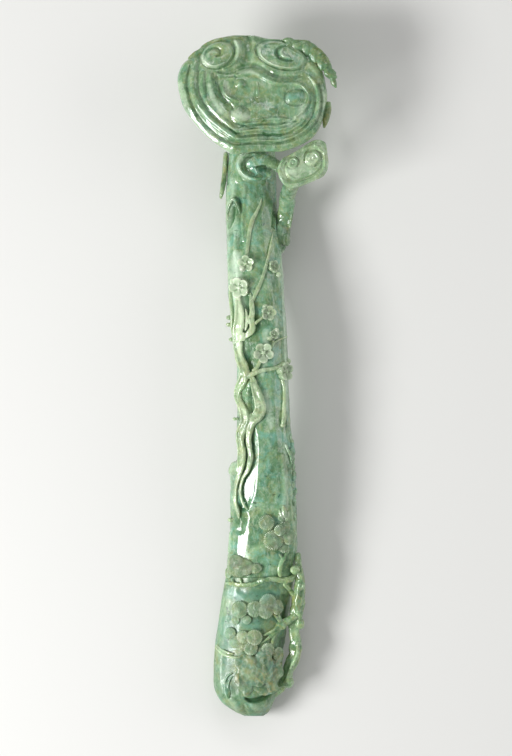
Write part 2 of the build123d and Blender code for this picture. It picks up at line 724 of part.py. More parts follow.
limb_stand = pine_branch_radius * stand_share
limb_points = [
    skin(*limb_pixels[0], limb_stand), skin(*limb_pixels[1], limb_stand),
    beside(*limb_pixels[2], pine_trunk_rise),
]
upper_limb = bead(limb_points, [pine_branch_radius * share for share in limb_shares])
nodes["pine_upper_limb"] = seat(upper_limb, trunk, pine_stem, nodes["pine_cross_branch"])
lower_limb_pixels = [(295, 619), (286.5, 622), (279, 625), (271, 630), (264, 638)]
lower_limb_shares = [1.3, 1.2, 1.1, 0.8, 0.5]
lower_limb_points = [
    beside(*lower_limb_pixels[0], pine_trunk_rise), skin(*lower_limb_pixels[1], pine_branch_radius),
] + [skin(*place, limb_stand) for place in lower_limb_pixels[2:]]
lower_limb = bead(lower_limb_points, [pine_branch_radius * share for share in lower_limb_shares])
lower_limb = seat(lower_limb, trunk, pine_stem)
nodes["pine_lower_limb"] = lower_limb
pine_twig_pixels_and_shares = [
    [(279, 624, 1.0), (276, 617, 1.0), (272, 610, 0.8)],
    [(283, 623, 1.0), (280, 615, 1.0), (278, 608, 0.8)],
    [(281, 579, 1.2), (280, 571, 1.3), (282, 563, 1.2), (288, 551, 0.7)],
    [(233, 587, 0.7), (231, 580, 0.8), (234, 574, 0.7)],
    [(243, 586, 0.7), (241, 580, 0.8), (242, 575, 0.7)],
]
pine_twigs = seat(
    Compound([skin_run(rows, pine_twig_radius, twig_sides) for rows in pine_twig_pixels_and_shares]),
    trunk, lower_limb, nodes["pine_cross_branch"], pine_stem)
nodes["pine_twigs"] = pine_twigs

# Needle clusters: overlapping domed discs, each row of them one node
pine_carriers = [
    pine_stem, nodes["pine_cross_branch"], nodes["pine_upper_limb"], lower_limb, pine_twigs, bark_edge,
]
cluster_pixels_and_shares = {
    "pine_needles_upper": [(267, 523, 1.1), (271, 541, 1.4), (286, 538, 1.2), (283, 519, 0.7)],
    "pine_needles_left": [(234, 562, 1.2), (246, 563, 1.3), (257, 568, 0.9), (229, 571, 0.9)],
    "pine_needles_middle": [
        (240, 610, 1.1), (254, 609, 0.95), (265, 607, 0.95), (277, 605, 0.9), (236, 620, 0.6),
    ],
    "pine_needles_lower": [(253, 636, 1.15), (239, 641, 0.9), (229, 637, 0.8), (266, 648, 0.8)],
}
for name, rows in cluster_pixels_and_shares.items():
    cluster = []
    for x, y, share in rows:
        disc = skin_dome(x, y, needle_disc_radius * share, needle_disc_height)
        cluster += seat(disc, trunk, *near(disc, pine_carriers + cluster)).solids()
    nodes[name] = Compound(cluster)

# Foot: a broad domed rock on its face, a small hooked scroll, and a ridge round its left side
rock_pixels_and_shares = [
    (255, 660, 1.0), (268, 659, 0.95), (268, 673, 0.9), (256, 682, 0.85), (249, 671, 0.8),
]
rock = skin_dome(*rock_pixels_and_shares[0][:2], rock_radius, rock_height)
for x, y, share in rock_pixels_and_shares[1:]:
    rock = rock + skin_dome(x, y, rock_radius * share, rock_height)
nodes["foot_rock"] = seat(rock, trunk, *near(rock, pine_carriers + nodes["pine_needles_lower"].solids()))
foot_scroll_pixels_and_shares = [(232, 673, 0.6), (227.5, 678, 0.9), (225.5, 687, 1.0), (226.5, 697, 0.8)]
foot_ridge_pixels_and_shares = [(217, 648, 0.7), (222, 652, 1.0), (228, 655, 1.0), (236, 656.5, 0.6)]
foot_ridge = skin_run(foot_ridge_pixels_and_shares, foot_ridge_radius, twig_sides)
nodes["foot_scroll"] = seat(skin_run(foot_scroll_pixels_and_shares, foot_scroll_radius), trunk)
nodes["foot_ridge"] = seat(foot_ridge, trunk, nodes["foot_rock"])

os.makedirs("parts", exist_ok=True)
for name, shape in nodes.items():
    export_step(shape, "parts/" + name + ".step")
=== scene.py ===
import bpy
import math
from mathutils import Vector, Matrix, kdtree, noise


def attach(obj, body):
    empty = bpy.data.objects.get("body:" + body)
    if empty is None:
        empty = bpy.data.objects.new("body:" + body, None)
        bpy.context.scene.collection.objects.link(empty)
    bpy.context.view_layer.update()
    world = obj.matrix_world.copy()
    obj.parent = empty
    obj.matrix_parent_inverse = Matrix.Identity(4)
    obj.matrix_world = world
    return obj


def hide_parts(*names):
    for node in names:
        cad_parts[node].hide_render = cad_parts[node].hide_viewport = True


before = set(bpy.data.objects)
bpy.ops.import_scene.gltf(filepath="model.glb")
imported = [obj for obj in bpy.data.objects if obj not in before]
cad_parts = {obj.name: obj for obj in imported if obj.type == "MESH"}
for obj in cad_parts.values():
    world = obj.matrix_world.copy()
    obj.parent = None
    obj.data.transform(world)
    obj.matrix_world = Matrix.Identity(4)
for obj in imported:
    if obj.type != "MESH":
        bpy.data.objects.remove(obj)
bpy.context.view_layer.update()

# Shaft: the old tree trunk that forms the hand grip. It is carved from the one jade boulder,
# arched over its length, with bark ridges, a knothole and a scooped hollow worked into its skin,
# then ground with grit and waxed to a glassy polish.
millimetre = 0.001
middle_column, middle_row = 258.0, 375.5
column_width, row_height = 0.6, 0.6003  # millimetres


def across(picture_x):
    """Place across the piece of a column of the picture."""
    return (picture_x - middle_column) * column_width * millimetre


def along(picture_y):
    """Place along the piece of a row of the picture."""
    return (middle_row - picture_y) * row_height * millimetre


def picture_place(point):
    """Column and row of the picture where a point of the piece lies."""
    return point.x / millimetre / column_width + middle_column, middle_row - point.y / millimetre / row_height


def smooth(share):
    """Soft step from 0 to 1."""
    share = min(max(share, 0.0), 1.0)
    return share * share * (3 - 2 * share)


def through(rows, share, closed=False):
    """Values of a smooth line through rows, at a share of its run."""
    spans = len(rows) if closed else len(rows) - 1
    place = min(share * spans, spans - 1e-6)
    i = int(place)
    t = place - i
    if closed:
        a, b, c, d = (rows[(i + k) % len(rows)] for k in (-1, 0, 1, 2))
    else:
        a, b, c, d = rows[max(i - 1, 0)], rows[i], rows[i + 1], rows[min(i + 2, spans)]
    return tuple(
        0.5 * (2 * q + (r - p) * t + (2 * p - 5 * q + 4 * r - s) * t * t + (3 * q - p - 3 * r + s) * t ** 3)
        for p, q, r, s in zip(a, b, c, d)
    )


# Row, left and right edge in the picture, and shares of the grip's half depth and of the arch's lift
grip_half_depth, arch_lift, belly_cut = 12.5, 19, 2  # millimetres
trunk_rows = [
    (y, left, right, grip_half_depth * depth, arch_lift * lift - belly_cut) for y, left, right, depth, lift in [
        (717, 245, 263, 0.30, 0.40), (713, 236, 268, 0.55, 0.24), (704, 223, 272.5, 0.85, 0.08),
        (691, 215.5, 277.5, 1.02, 0.01), (675, 214, 281, 1.08, 0.00), (650, 215.5, 284, 1.10, 0.00),
        (625, 218.5, 287, 1.08, 0.04), (600, 222, 290, 1.05, 0.13), (577, 226, 294, 1.02, 0.28),
        (545, 229.5, 297, 1.00, 0.50), (505, 231, 296, 0.99, 0.73), (470, 232.5, 294.5, 0.96, 0.89),
        (455, 237, 293, 0.94, 0.94), (420, 238, 290, 0.92, 1.00), (385, 238, 288, 0.90, 1.00),
        (350, 236.5, 287, 0.90, 0.95), (320, 232, 285.5, 0.92, 0.85), (290, 228.5, 283.5, 0.95, 0.69),
        (250, 228, 281, 0.95, 0.44), (215, 226, 277, 0.95, 0.21), (180, 227, 276, 0.97, 0.05),
        (160, 228, 275, 1.00, 0.00), (140, 230, 273, 1.02, 0.07), (122, 232, 272, 1.00, 0.34),
        (106, 235, 270, 0.88, 0.74), (94, 241, 264, 0.55, 1.12),
    ]
]


def trunk_at(picture_y):
    """Middle, half width, spine height and half depth of the trunk at one row, on a smooth line through its rows."""
    picture_y = min(max(picture_y, trunk_rows[-1][0]), trunk_rows[0][0])
    for i in range(len(trunk_rows) - 1):
        lower, upper = trunk_rows[i], trunk_rows[i + 1]
        if upper[0] <= picture_y:
            break
    t = (lower[0] - picture_y) / (lower[0] - upper[0])
    values = []
    for k in (1, 2, 3, 4):
        before = trunk_rows[max(i - 1, 0)]
        after = trunk_rows[min(i + 2, len(trunk_rows) - 1)]
        span = lower[0] - upper[0]
        slope_in = (upper[k] - before[k]) / max(before[0] - upper[0], 1) * span
        slope_out = (after[k] - lower[k]) / max(lower[0] - after[0], 1) * span
        values.append(
            (2 * t ** 3 - 3 * t * t + 1) * lower[k] + (t ** 3 - 2 * t * t + t) * slope_in
            + (3 * t * t - 2 * t ** 3) * upper[k] + (t ** 3 - t * t) * slope_out
        )
    left, right, half_depth, underside = values
    half_width = (across(right) - across(left)) / 2
    half_depth *= millimetre
    return (across(left) + across(right)) / 2, half_width, underside * millimetre + half_depth, half_depth


def skin(picture_x, picture_y, lift):
    """Point above the trunk's upper skin and the skin's outward direction, lift in millimetres."""
    middle, half_width, spine, half_depth = trunk_at(picture_y)
    edge_share = 0.97
    share = min(max((across(picture_x) - middle) / half_width, -edge_share), edge_share)
    crown = math.sqrt(1 - share * share)
    normal = Vector((share / half_width, 0, crown / half_depth)).normalized()
    surface = Vector((middle + half_width * share, along(picture_y), spine + half_depth * crown))
    return surface + normal * lift * millimetre, normal


def stroke(rows, height=1.0):
    """Search tree of a smooth line through rows of place and half width, for carving a relief."""
    spacing = 0.7
    samples = []
    for i in range(len(rows) - 1):
        count = max(2, int(math.dist(rows[i][:2], rows[i + 1][:2]) / spacing))
        for k in range(count):
            samples.append(through(rows, (i + k / count) / (len(rows) - 1)))
    samples.append(tuple(rows[-1]))
    tree = kdtree.KDTree(len(samples))
    for i, sample in enumerate(samples):
        tree.insert((sample[0], sample[1], 0), i)
    tree.balance()
    reach = max(sample[2] for sample in samples)
    box = [f(s[k] for s in samples) + side * reach for k in (0, 1) for f, side in ((min, -1), (max, 1))]
    return tree, samples, box, height


def strokes(table):
    """Search trees of a table of lines, each with its height in millimetres."""
    return [stroke(rows, height) for rows, height in table]


def carve(x, y, lines, crisp=0.0):
    """Height of a relief of strokes at a picture place: soft ridges and grooves, or crisp rounds."""
    total = 0.0
    for tree, samples, box, height in lines:
        if box[0] < x < box[1] and box[2] < y < box[3]:
            i, distance = tree.find((x, y, 0))[1:]
            t = distance / max(samples[i][2], 0.01)
            if t < 1:
                soft = (1 - t * t) ** 2
                total += height * (soft + crisp * (math.sqrt(1 - t * t) - soft))
    return total


# Clouds in the stone: paler above 0, blue-green below. Many of the pale ones are painted highlights, as noted below.
clouds_and_highlights = strokes([
    ([(236, 115, 10), (244, 117, 9)], 0.42),
    # These nine, down to the right rim: mostly painted highlights on the head's ridge, rim, scroll edges, V ridge,
    # wave hump and knob swirl, over pale stone
    ([(209, 86, 4), (213, 99, 6), (221, 112, 6)], 0.42),
    ([(180, 86, 7), (190, 116, 8), (209, 137, 8), (228, 151, 7)], 0.30),
    ([(300, 104, 7), (301, 116, 8), (288, 124, 7)], 0.36),
    ([(202, 58, 5), (208, 66, 5), (216, 68, 3)], 0.40),
    ([(235, 42, 3), (239, 50, 4.5), (236, 60, 3)], 0.42),
    ([(240, 74, 4), (250, 72, 5), (258, 76, 3)], 0.40),
    ([(226, 84, 5), (227, 93, 6)], 0.42),
    ([(258, 48, 3), (262, 60, 4), (278, 67, 3)], 0.30),
    ([(318, 80, 4), (323, 97, 5), (318, 120, 5)], 0.32),
    ([(284, 176, 8), (302, 166, 15), (320, 152, 10)], 0.34),
    ([(240, 158, 6), (239, 170, 6), (250, 179, 4)], 0.30),
    ([(233, 180, 7), (232, 205, 6), (234, 231, 10)], 0.34),
    # Trunk: the stone's own white clouds with painted sheen on them; the last two strokes, at the right edge, are
    # painted highlights
    ([(236, 256, 9), (237, 285, 12), (242, 315, 13), (242, 350, 10)], 0.60),
    ([(266, 332, 6), (265, 350, 6), (262, 374, 5)], 0.40),
    ([(266, 392, 5), (269, 410, 7), (271, 428, 6)], 0.42),
    ([(283, 250, 4), (284, 300, 4), (285, 350, 4), (287, 410, 4)], 0.34),
    ([(285, 446, 4), (288, 462, 4)], 0.40),
    ([(290, 98, 8), (302, 98, 7)], -0.38),
    ([(246, 44, 6), (249, 56, 8)], -0.26),
    ([(250, 165, 7), (256, 172, 7)], -0.46),
    ([(262, 436, 6), (274, 436, 10), (284, 440, 6)], -0.42),
    ([(234, 544, 8), (238, 556, 6)], -0.30),
    ([(230, 594, 12), (252, 596, 12), (272, 594, 9)], -0.46),
    ([(242, 624, 8), (256, 628, 8)], -0.42),
    ([(226, 628, 12), (224, 660, 11), (226, 690, 10)], -0.34),
    ([(258, 706, 10), (244, 706, 8)], -0.24),
])


def jade(name, tint, turquoise, white=0.35, russet=0.25, gloss=0.14, bleach=0.0, coat=0.5):
    """Waxed jadeite: cloudy greens that run on from piece to piece, with pale, blue-green and russet veins, painted
    highlights among the pale clouds, and painted shade and highlight from the relief.
    """
    material = bpy.data.materials.new(name)
    material.use_nodes = True
    tree = material.node_tree
    nodes, links = tree.nodes, tree.links
    shader = nodes["Principled BSDF"]
    place = nodes.new("ShaderNodeTexCoord").outputs["Object"]

    def noisy(scale, detail, roughness, distortion, offset=0.0, stretch=(1, 1, 1)):
        """Noise in the piece's own coordinates, moved and stretched so that no two patterns agree."""
        mapping = nodes.new("ShaderNodeMapping")
        mapping.inputs["Location"].default_value = (offset, offset * 0.7, -offset)
        mapping.inputs["Scale"].default_value = stretch
        links.new(place, mapping.inputs["Vector"])
        texture = nodes.new("ShaderNodeTexNoise")
        for socket, value in (
            ("Scale", scale), ("Detail", detail), ("Roughness", roughness), ("Distortion", distortion),
        ):
            texture.inputs[socket].default_value = value
        links.new(mapping.outputs[0], texture.inputs["Vector"])
        return texture.outputs["Fac"]

    def ramp(value, *stops):
        """Colour or grey that a value gives: stops of position and colour, or of position and brightness."""
        node = nodes.new("ShaderNodeValToRGB")
        while len(node.color_ramp.elements) < len(stops):
            node.color_ramp.elements.new(0.5)
        for element, (position, colour) in zip(node.color_ramp.elements, stops):
            element.position = position
            element.color = (*colour, 1) if isinstance(colour, tuple) else (colour, colour, colour, 1)
        links.new(value, node.inputs["Fac"])
        return node.outputs["Color"]

    def mixed(factor, first, second, kind="MIX"):
        """Blend of two colours; each input is a number, a colour or another node's output."""
        node = nodes.new("ShaderNodeMix")
        node.data_type = "RGBA"
        node.blend_type = kind
        node.clamp_factor = True
        for socket, value in (("Factor", factor), ("A", first), ("B", second)):
            if isinstance(value, float):
                node.inputs[socket].default_value = value
            elif isinstance(value, tuple):
                node.inputs[socket].default_value = (*value, 1)
            else:
                links.new(value, node.inputs[socket])
        return node.outputs["Result"]

    def attribute(layer):
        """Value that weather stored at the points."""
        node = nodes.new("ShaderNodeAttribute")
        node.attribute_name = layer
        return node.outputs["Fac"]

    def veined(colour, veins):
        """Colour with veins over it: each has its noise, the low and high between which it fades in,
        its strength and its colour."""
        for pattern, low, high, strength, vein in veins:
            colour = mixed(ramp(noisy(*pattern), (low, 0.0), (high, strength)), colour, vein)
        return colour

    body = ramp(
        noisy(60, 6, 0.66, 1.3), (0.32, (0.065, 0.160, 0.075)), (0.44, (0.135, 0.275, 0.140)),
        (0.54, (0.215, 0.380, 0.200)), (0.66, (0.350, 0.520, 0.290)))
    colour = veined(body, [
        ((105, 6, 0.72, 1.4, 17.3), 0.48, 0.62, 0.25 + russet, (0.330, 0.375, 0.135)),
        ((90, 5, 0.68, 1.2, 3.1), 0.50, 0.62, turquoise, (0.175, 0.440, 0.345)),
        ((170, 7, 0.76, 1.8, 7.7, (1, 0.6, 1)), 0.51, 0.66, white, (0.640, 0.760, 0.590)),
        ((80, 6, 0.74, 2.0, 12.3), 0.56, 0.68, russet, (0.440, 0.350, 0.105)),
    ])
    cloud_and_highlight = attribute("cloud_and_highlight")
    drift = nodes.new("ShaderNodeMath")
    drift.operation = "MULTIPLY_ADD"
    links.new(noisy(140, 6, 0.70, 1.2, 33.0), drift.inputs[0])
    drift.inputs[1].default_value = 0.45
    links.new(cloud_and_highlight, drift.inputs[2])
    # Pale clouds, with the painted highlights placed in the clouds table, then blue-green clouds where the table is
    # low
    colour = mixed(ramp(drift.outputs[0], (0.56, 0.0), (0.76, 0.85)), colour, (0.620, 0.760, 0.580))
    colour = mixed(ramp(drift.outputs[0], (0.26, 0.8), (0.42, 0.0)), colour, (0.190, 0.430, 0.330))
    colour = veined(colour, [
        ((480, 5, 0.66, 0.8, 1.9, (1, 0.5, 1)), 0.50, 0.68, 0.32, (0.720, 0.810, 0.640)),
        ((330, 4, 0.66, 0.9, 14.0), 0.54, 0.70, 0.42, (0.060, 0.140, 0.070)),
        ((260, 3, 0.6, 0.4, 21.0), 0.66, 0.73, 0.7, (0.020, 0.060, 0.045)),
    ])
    # Painted shade and highlight from the relief: recesses darkened, crests paled. On the head the stone's dark
    # specks ride on these marks too
    depth = attribute("rise")
    colour = mixed(ramp(depth, (0.0, 0.95), (0.46, 0.0)), colour, (0.24, 0.42, 0.26), "MULTIPLY")
    colour = mixed(ramp(depth, (0.54, 0.0), (0.98, 0.42)), colour, (0.700, 0.800, 0.620))
    if bleach:
        colour = mixed(bleach, colour, (0.780, 0.820, 0.660))
    links.new(mixed(1.0, colour, tint, "MULTIPLY"), shader.inputs["Base Color"])
    polish = ramp(noisy(190, 4, 0.6, 0.5, 5.0), (0.35, gloss * 0.7), (0.70, gloss * 1.7))
    links.new(polish, shader.inputs["Roughness"])
    bump = nodes.new("ShaderNodeBump")
    bump.inputs["Strength"].default_value = 0.30
    bump.inputs["Distance"].default_value = 0.0006
    links.new(noisy(300, 5, 0.62, 0.8, 9.0), bump.inputs["Height"])
    links.new(bump.outputs["Normal"], shader.inputs["Normal"])
    for socket, value in (
        ("IOR", 1.66), ("Subsurface Weight", 0.35), ("Subsurface Radius", (0.7, 1.0, 0.75)),
        ("Subsurface Scale", 0.0025), ("Coat Weight", coat), ("Coat Roughness", 0.06),
    ):
        shader.inputs[socket].default_value = value
    return material


def stone(name, vertices, faces, material, shading_marks=None):
    """Mesh object with smooth faces, and how far each point stands above or below its surroundings, which paints
    shade in its hollows and highlight on its crests.
    """
    mesh = bpy.data.meshes.new(name)
    mesh.from_pydata([tuple(v) for v in vertices], [], faces)
    mesh.materials.append(material)
    mesh.polygons.foreach_set("use_smooth", [True] * len(mesh.polygons))
    mesh.update()
    piece = bpy.data.objects.new(name, mesh)
    bpy.context.scene.collection.objects.link(piece)
    weather(piece, shading_marks)
    return piece


def weather(piece, shading_marks):
    """Store where a piece is in the clouds and their painted highlights, and its relief for painted shade and
    highlight: given, or measured over each point's neighbourhood.
    """
    mesh = piece.data
    reach = 6
    plain_stone, cloud_and_highlight_strength = 0.275, 0.5
    if shading_marks is None:
        around = [[] for v in mesh.vertices]
        for edge in mesh.edges:
            a, b = edge.vertices
            around[a].append(b)
            around[b].append(a)
        places = [v.co.copy() for v in mesh.vertices]
        for _ in range(reach):
            places = [
                (places[i] + sum((places[k] for k in ring), Vector())) / (len(ring) + 1) if ring else places[i]
                for i, ring in enumerate(around)
            ]
        shading_marks = [(v.co - places[i]).dot(v.normal) / millimetre for i, v in enumerate(mesh.vertices)]
    attribute = mesh.attributes.new("rise", "FLOAT", "POINT")
    attribute.data.foreach_set("value", [min(max(0.5 + rise, 0.0), 1.0) for rise in shading_marks])
    attribute = mesh.attributes.new("cloud_and_highlight", "FLOAT", "POINT")
    attribute.data.foreach_set("value", [
        plain_stone + cloud_and_highlight_strength * carve(*picture_place(v.co), clouds_and_highlights) for v in mesh.vertices])


def carved(piece, *carved_nodes):
    """Fix a piece to the stone, in place of the plain carved elements it finishes."""
    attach(piece, "root")
    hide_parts(*carved_nodes)


trunk_ridges = strokes([
    ([(236, 236, 2.5), (236, 250, 3.5), (237.5, 264, 3.5), (238, 279, 2)], 0.9),
    ([(245, 186, 2.5), (244, 205, 3), (242, 222, 2.5), (243, 240, 2)], 0.7),
    ([(262, 186, 2.5), (264, 200, 3), (262, 214, 2)], 0.5),
    ([(229, 255, 2), (231, 275, 2.5), (230, 300, 2)], 0.5),
    ([(231, 455, 2.5), (231, 464, 3.5), (233, 474, 2)], 1.0),
    ([(230, 533, 2.5), (229.5, 543, 4), (230, 552, 2.5)], 1.0),
    ([(282, 455, 3), (285, 485, 4), (284, 520, 4), (287, 545, 3)], 0.8),
    ([(280, 252, 1.6), (281.4, 280, 2.2), (283, 320, 2.2), (284.4, 350, 2.2), (285.4, 385, 2.2),
      (287, 425, 1.6)], 0.9),
    ([(226, 588, 4), (222.5, 612, 6), (220, 640, 6), (219, 670, 6), (222, 696, 4)], 0.5),
    ([(228.6, 186, 3), (228.4, 215, 5), (229.6, 250, 5), (231, 285, 4)], 0.8),
    ([(231, 700, 4), (236, 706, 6), (238, 711, 4)], 1.1),
    ([(252, 706, 4), (260, 709, 6), (267, 705, 5)], 1.1),
])
trunk_hollows = strokes([
    ([(233, 207, 1.5), (232, 217, 2.4), (230, 227, 1.2)], -2.4),
    ([(252, 384, 2), (251.5, 398, 4), (252, 412, 2)], -1.3),
    ([(248, 426, 7), (246.5, 445, 11.5), (246.5, 470, 11.5), (245, 492, 10), (244, 506, 6)], -1.5),
    ([(246, 296, 6), (249, 320, 12), (250, 350, 13), (252, 372, 10)], -1.3),
    ([(239, 508, 6), (238, 518, 11), (239, 529, 6)], -1.3),
    ([(232, 618, 5), (231, 640, 9), (231, 668, 9), (234, 690, 6)], -0.4),
    ([(238, 184, 4), (240, 205, 8), (240, 236, 8), (240, 254, 5)], -0.8),
    ([(284, 596, 3), (285, 612, 5), (282, 622, 3)], -1.6),
    ([(283, 640, 3), (282, 652, 4.5), (281, 664, 3)], -1.6),
    ([(245.6, 699, 1.4), (251, 700.8, 3.0), (259, 700, 3.4), (267, 697, 2.8), (272, 693, 1.8)], -2.8),
    ([(241, 590, 5), (252, 595, 6), (270, 592, 5)], -0.7),
    ([(243.6, 706, 1.5), (244.6, 711, 3.4), (245, 716, 3)], -1.0),
    ([(277, 194, 1.6), (275, 210, 2.2), (273, 226, 1.4)], -1.6),
])


def trunk_relief(picture_x, picture_y, angle):
    """Height in millimetres of the carving on the trunk's skin: strokes on its face, long furrows on its back."""
    bark_height, furrow_width, furrow_depth = 0.7, 0.30, 2.2
    face = smooth(math.sin(angle) * 4 + 0.5)
    place = Vector((math.cos(angle) * 1.8, picture_y * 0.02, math.sin(angle) * 1.8))
    bark = noise.noise(place * 1.3) * 0.7 + noise.noise(place * Vector((3.2, 1.5, 3.2)) + Vector((7, 0, 0))) * 0.35
    furrow = abs(noise.noise(Vector((math.cos(angle) * 5, picture_y * 0.025, math.sin(angle) * 5))))
    back = (furrow_width - furrow) * furrow_depth
    if face:
        return bark * bark_height + (1 - face) * back + face * (
            carve(picture_x, picture_y, trunk_ridges) + carve(picture_x, picture_y, trunk_hollows, 0.5))
    return bark * bark_height + back


trunk_rings, trunk_sides = 620, 150
foot_row, head_row = 716.99, 94
branch_row = 577  # the branch laid across the trunk hides where the foot's piece begins
notch_row, step_end, dip_start, dip_end = 460.6, 486, 446, 462
step_out, dip_in = 1.6, 0.9  # millimetres
# Shading marks from the carving's height: painted shade in the hollows and slits, painted highlight on the ridges
shading_strength, darkest_painted_shade, palest_painted_highlight = 0.28, -0.5, 0.3
rings, shading_marks = [], []
for i in range(trunk_rings + 1):
    picture_y = foot_row + (head_row - foot_row) * i / trunk_rings
    middle, half_width, spine, half_depth = trunk_at(picture_y)
    ring, ring_shading_marks = [], []
    for k in range(trunk_sides):
        angle = 2 * math.pi * k / trunk_sides
        x = middle + half_width * math.cos(angle)
        z = spine + half_depth * math.sin(angle)
        normal = Vector((math.cos(angle) / half_width, 0, math.sin(angle) / half_depth)).normalized()
        picture_x = x / millimetre / column_width + middle_column
        rise = trunk_relief(picture_x, picture_y, angle)
        # Below the notch the trunk's left edge steps out, and above it the edge dips in
        step = step_out * smooth((picture_y - notch_row) / 2.2) * smooth((step_end - picture_y) / 22)
        step -= dip_in * smooth((picture_y - dip_start) / 10) * smooth((dip_end - picture_y) / 2)
        rise += step * smooth(-math.cos(angle) * 3 - 1.6)
        point = Vector((x, along(picture_y), z)) + normal * rise * millimetre
        point.z = max(point.z, 0)
        ring.append(point)
        ring_shading_marks.append(max(min(rise * shading_strength, palest_painted_highlight), darkest_painted_shade))
    rings.append(ring)
    shading_marks.append(ring_shading_marks)


def skin_of(rings):
    """Points and faces of a tube through rings, with a fan at each end."""
    sides = len(rings[0])
    points = [point for ring in rings for point in ring]
    faces = []
    for i in range(len(rings) - 1):
        for k in range(sides):
            a, b = i * sides + k, i * sides + (k + 1) % sides
            faces.append((a, b, b + sides, a + sides))
    for ring, start in ((rings[0], 0), (rings[-1], len(points) - sides)):
        heart = len(points)
        points.append(sum(ring, Vector()) / sides)
        for k in range(sides):
            a, b = start + k, start + (k + 1) % sides
            faces.append((heart, b, a) if start == 0 else (heart, a, b))
    return points, faces


trunk_jade = jade("trunk_jade", tint=(0.98, 1.02, 1.02), turquoise=0.6)
foot_jade = jade(
    "foot_jade", tint=(0.71, 0.78, 0.74), white=0.25, russet=0.45, turquoise=0.5, gloss=0.36, coat=0.06)
split = round((foot_row - branch_row) / (foot_row - head_row) * trunk_rings)
for name, low, high, material, node in (
    ("foot_carving", 0, split, foot_jade, "foot_stump"),
    ("trunk_carving", split, trunk_rings, trunk_jade, "shaft_trunk"),
):
    points, faces = skin_of(rings[low:high + 1])
    values = [value for ring in shading_marks[low:high + 1] for value in ring] + [0.0, 0.0]
    carved(stone(name, points, faces, material, values), node)

# Head: the broad lingzhi fungus cap on its short stalk. Its face is carved in rolled tiers that
# follow the rim, two oval scrolls, a wave and three bosses, all undercut and polished.
head_outline = [
    (232.5, 155), (222.5, 149), (209, 139), (196, 125.5), (184.5, 110), (179.3, 94), (177.6, 81), (179.2, 72),
    (184.5, 63), (196, 55), (206, 46), (217, 39.6), (232.5, 35.8), (244, 35.7), (255, 36), (268, 39),
    (283, 40), (293, 44), (306, 52), (316, 62), (323, 73), (326, 87.5), (327, 99), (324, 114), (320, 128),
    (314, 137), (304, 144), (293, 149), (281, 152.5), (268, 152.5), (256, 152.5), (244, 154),
]


def leaning_plane(middle, height, lean, swing=0.0):
    """Height of a leaning face over a picture place, height in millimetres."""
    normal = Vector((math.sin(math.radians(swing)), math.sin(math.radians(lean)), math.cos(math.radians(lean))))
    normal.normalize()
    origin = Vector((across(middle[0]), along(middle[1]), height * millimetre))

    def face(picture_x, picture_y, level):
        x, y = across(picture_x), along(picture_y)
        z = origin.z - ((x - origin.x) * normal.x + (y - origin.y) * normal.y) / normal.z
        return Vector((x, y, z + level * millimetre))
    return face


head_face = leaning_plane((252.0, 95.5), 47.9, 12.0)
head_ridges = strokes([
    ([(195.7, 59.6, 2.5), (184.5, 68.5, 4.5), (181.2, 78.6, 4.8), (181.7, 89.7, 5), (185.6, 102, 5.2),
      (191.2, 113.2, 5.2), (199, 125.4, 5.2), (209, 135.5, 5.2), (220.2, 143.3, 5), (232.5, 149.5, 5),
      (245.9, 148.5, 4.5), (259.3, 147.5, 4.5), (276, 148.9, 4), (290.5, 145.8, 3.6), (303.9, 140.3, 3.4),
      (314, 133, 3.2), (320, 124, 3), (323.2, 112, 2.8), (324, 98.7, 2.8), (323.1, 87.5, 2.8), (318.7, 75.2, 2.6),
      (312, 66, 2)], 0.4),
    ([(196.6, 62.8, 2), (193.5, 75.2, 3.6), (193.4, 89.7, 4), (197.8, 103.1, 4.2), (206.2, 115.4, 4.2),
      (217.4, 125.4, 4.2), (229.7, 134.4, 4), (240, 140, 3.6), (253.7, 140, 3.4), (270.4, 141, 3.4),
      (287.2, 139, 3.2), (300.7, 134.6, 2.8), (310, 126.8, 2.6), (316.4, 116.6, 2.4), (318.5, 105.4, 2.3),
      (317.9, 94.2, 2.2), (315, 84.3, 2), (309, 77, 1.5)], 1.4),
    ([(203.4, 73, 2), (202.8, 87.5, 3), (207.8, 102, 3.2), (216.8, 114.3, 3.2), (226.8, 123.2, 3), (236, 130.5, 2.8),
      (248.1, 131.5, 2.4), (259.3, 129.7, 2.2), (270.4, 128.4, 2.2), (281.6, 129.4, 2.2), (292.8, 128.7, 2.2),
      (302, 123.2, 2.1), (309, 114.3, 2), (312, 103.1, 1.8), (310.5, 94.2, 1.5)], 1.0),
    ([(210, 76, 3), (212, 89.7, 5.5), (215.6, 100.9, 7.4), (221, 109, 8), (226, 113.6, 7)], 1.45),
    ([(237, 76.3, 2), (247, 73.5, 3.4), (254.8, 73.5, 3.6), (262.6, 77.5, 3.2), (270.4, 82, 3), (281.6, 84.7, 2.8),
      (292.8, 84.2, 2.8), (301, 86.3, 2.8), (307, 93, 2.8), (307.5, 102, 3), (303.5, 111, 3), (296, 117.8, 2)], 1.9),
    ([(235.8, 41.7, 2), (238.6, 49.6, 2.8), (237, 58.5, 2.8), (232, 65.2, 2), (224, 69.5, 1.4)], 2.0),
    ([(234, 79, 2), (226, 80.5, 2.6), (222.8, 87, 2.8), (224.6, 94, 2.8), (231.3, 99.7, 2.4), (238, 102, 1.6)], 1.5),
    ([(257.6, 84, 1), (257.6, 91, 1.6), (257.4, 98, 1)], 0.5),
    ([(246, 125, 2), (256, 123.5, 2.4), (267, 120, 2.6), (280, 119.5, 2.4), (290, 121, 1.6)], 0.9),
])
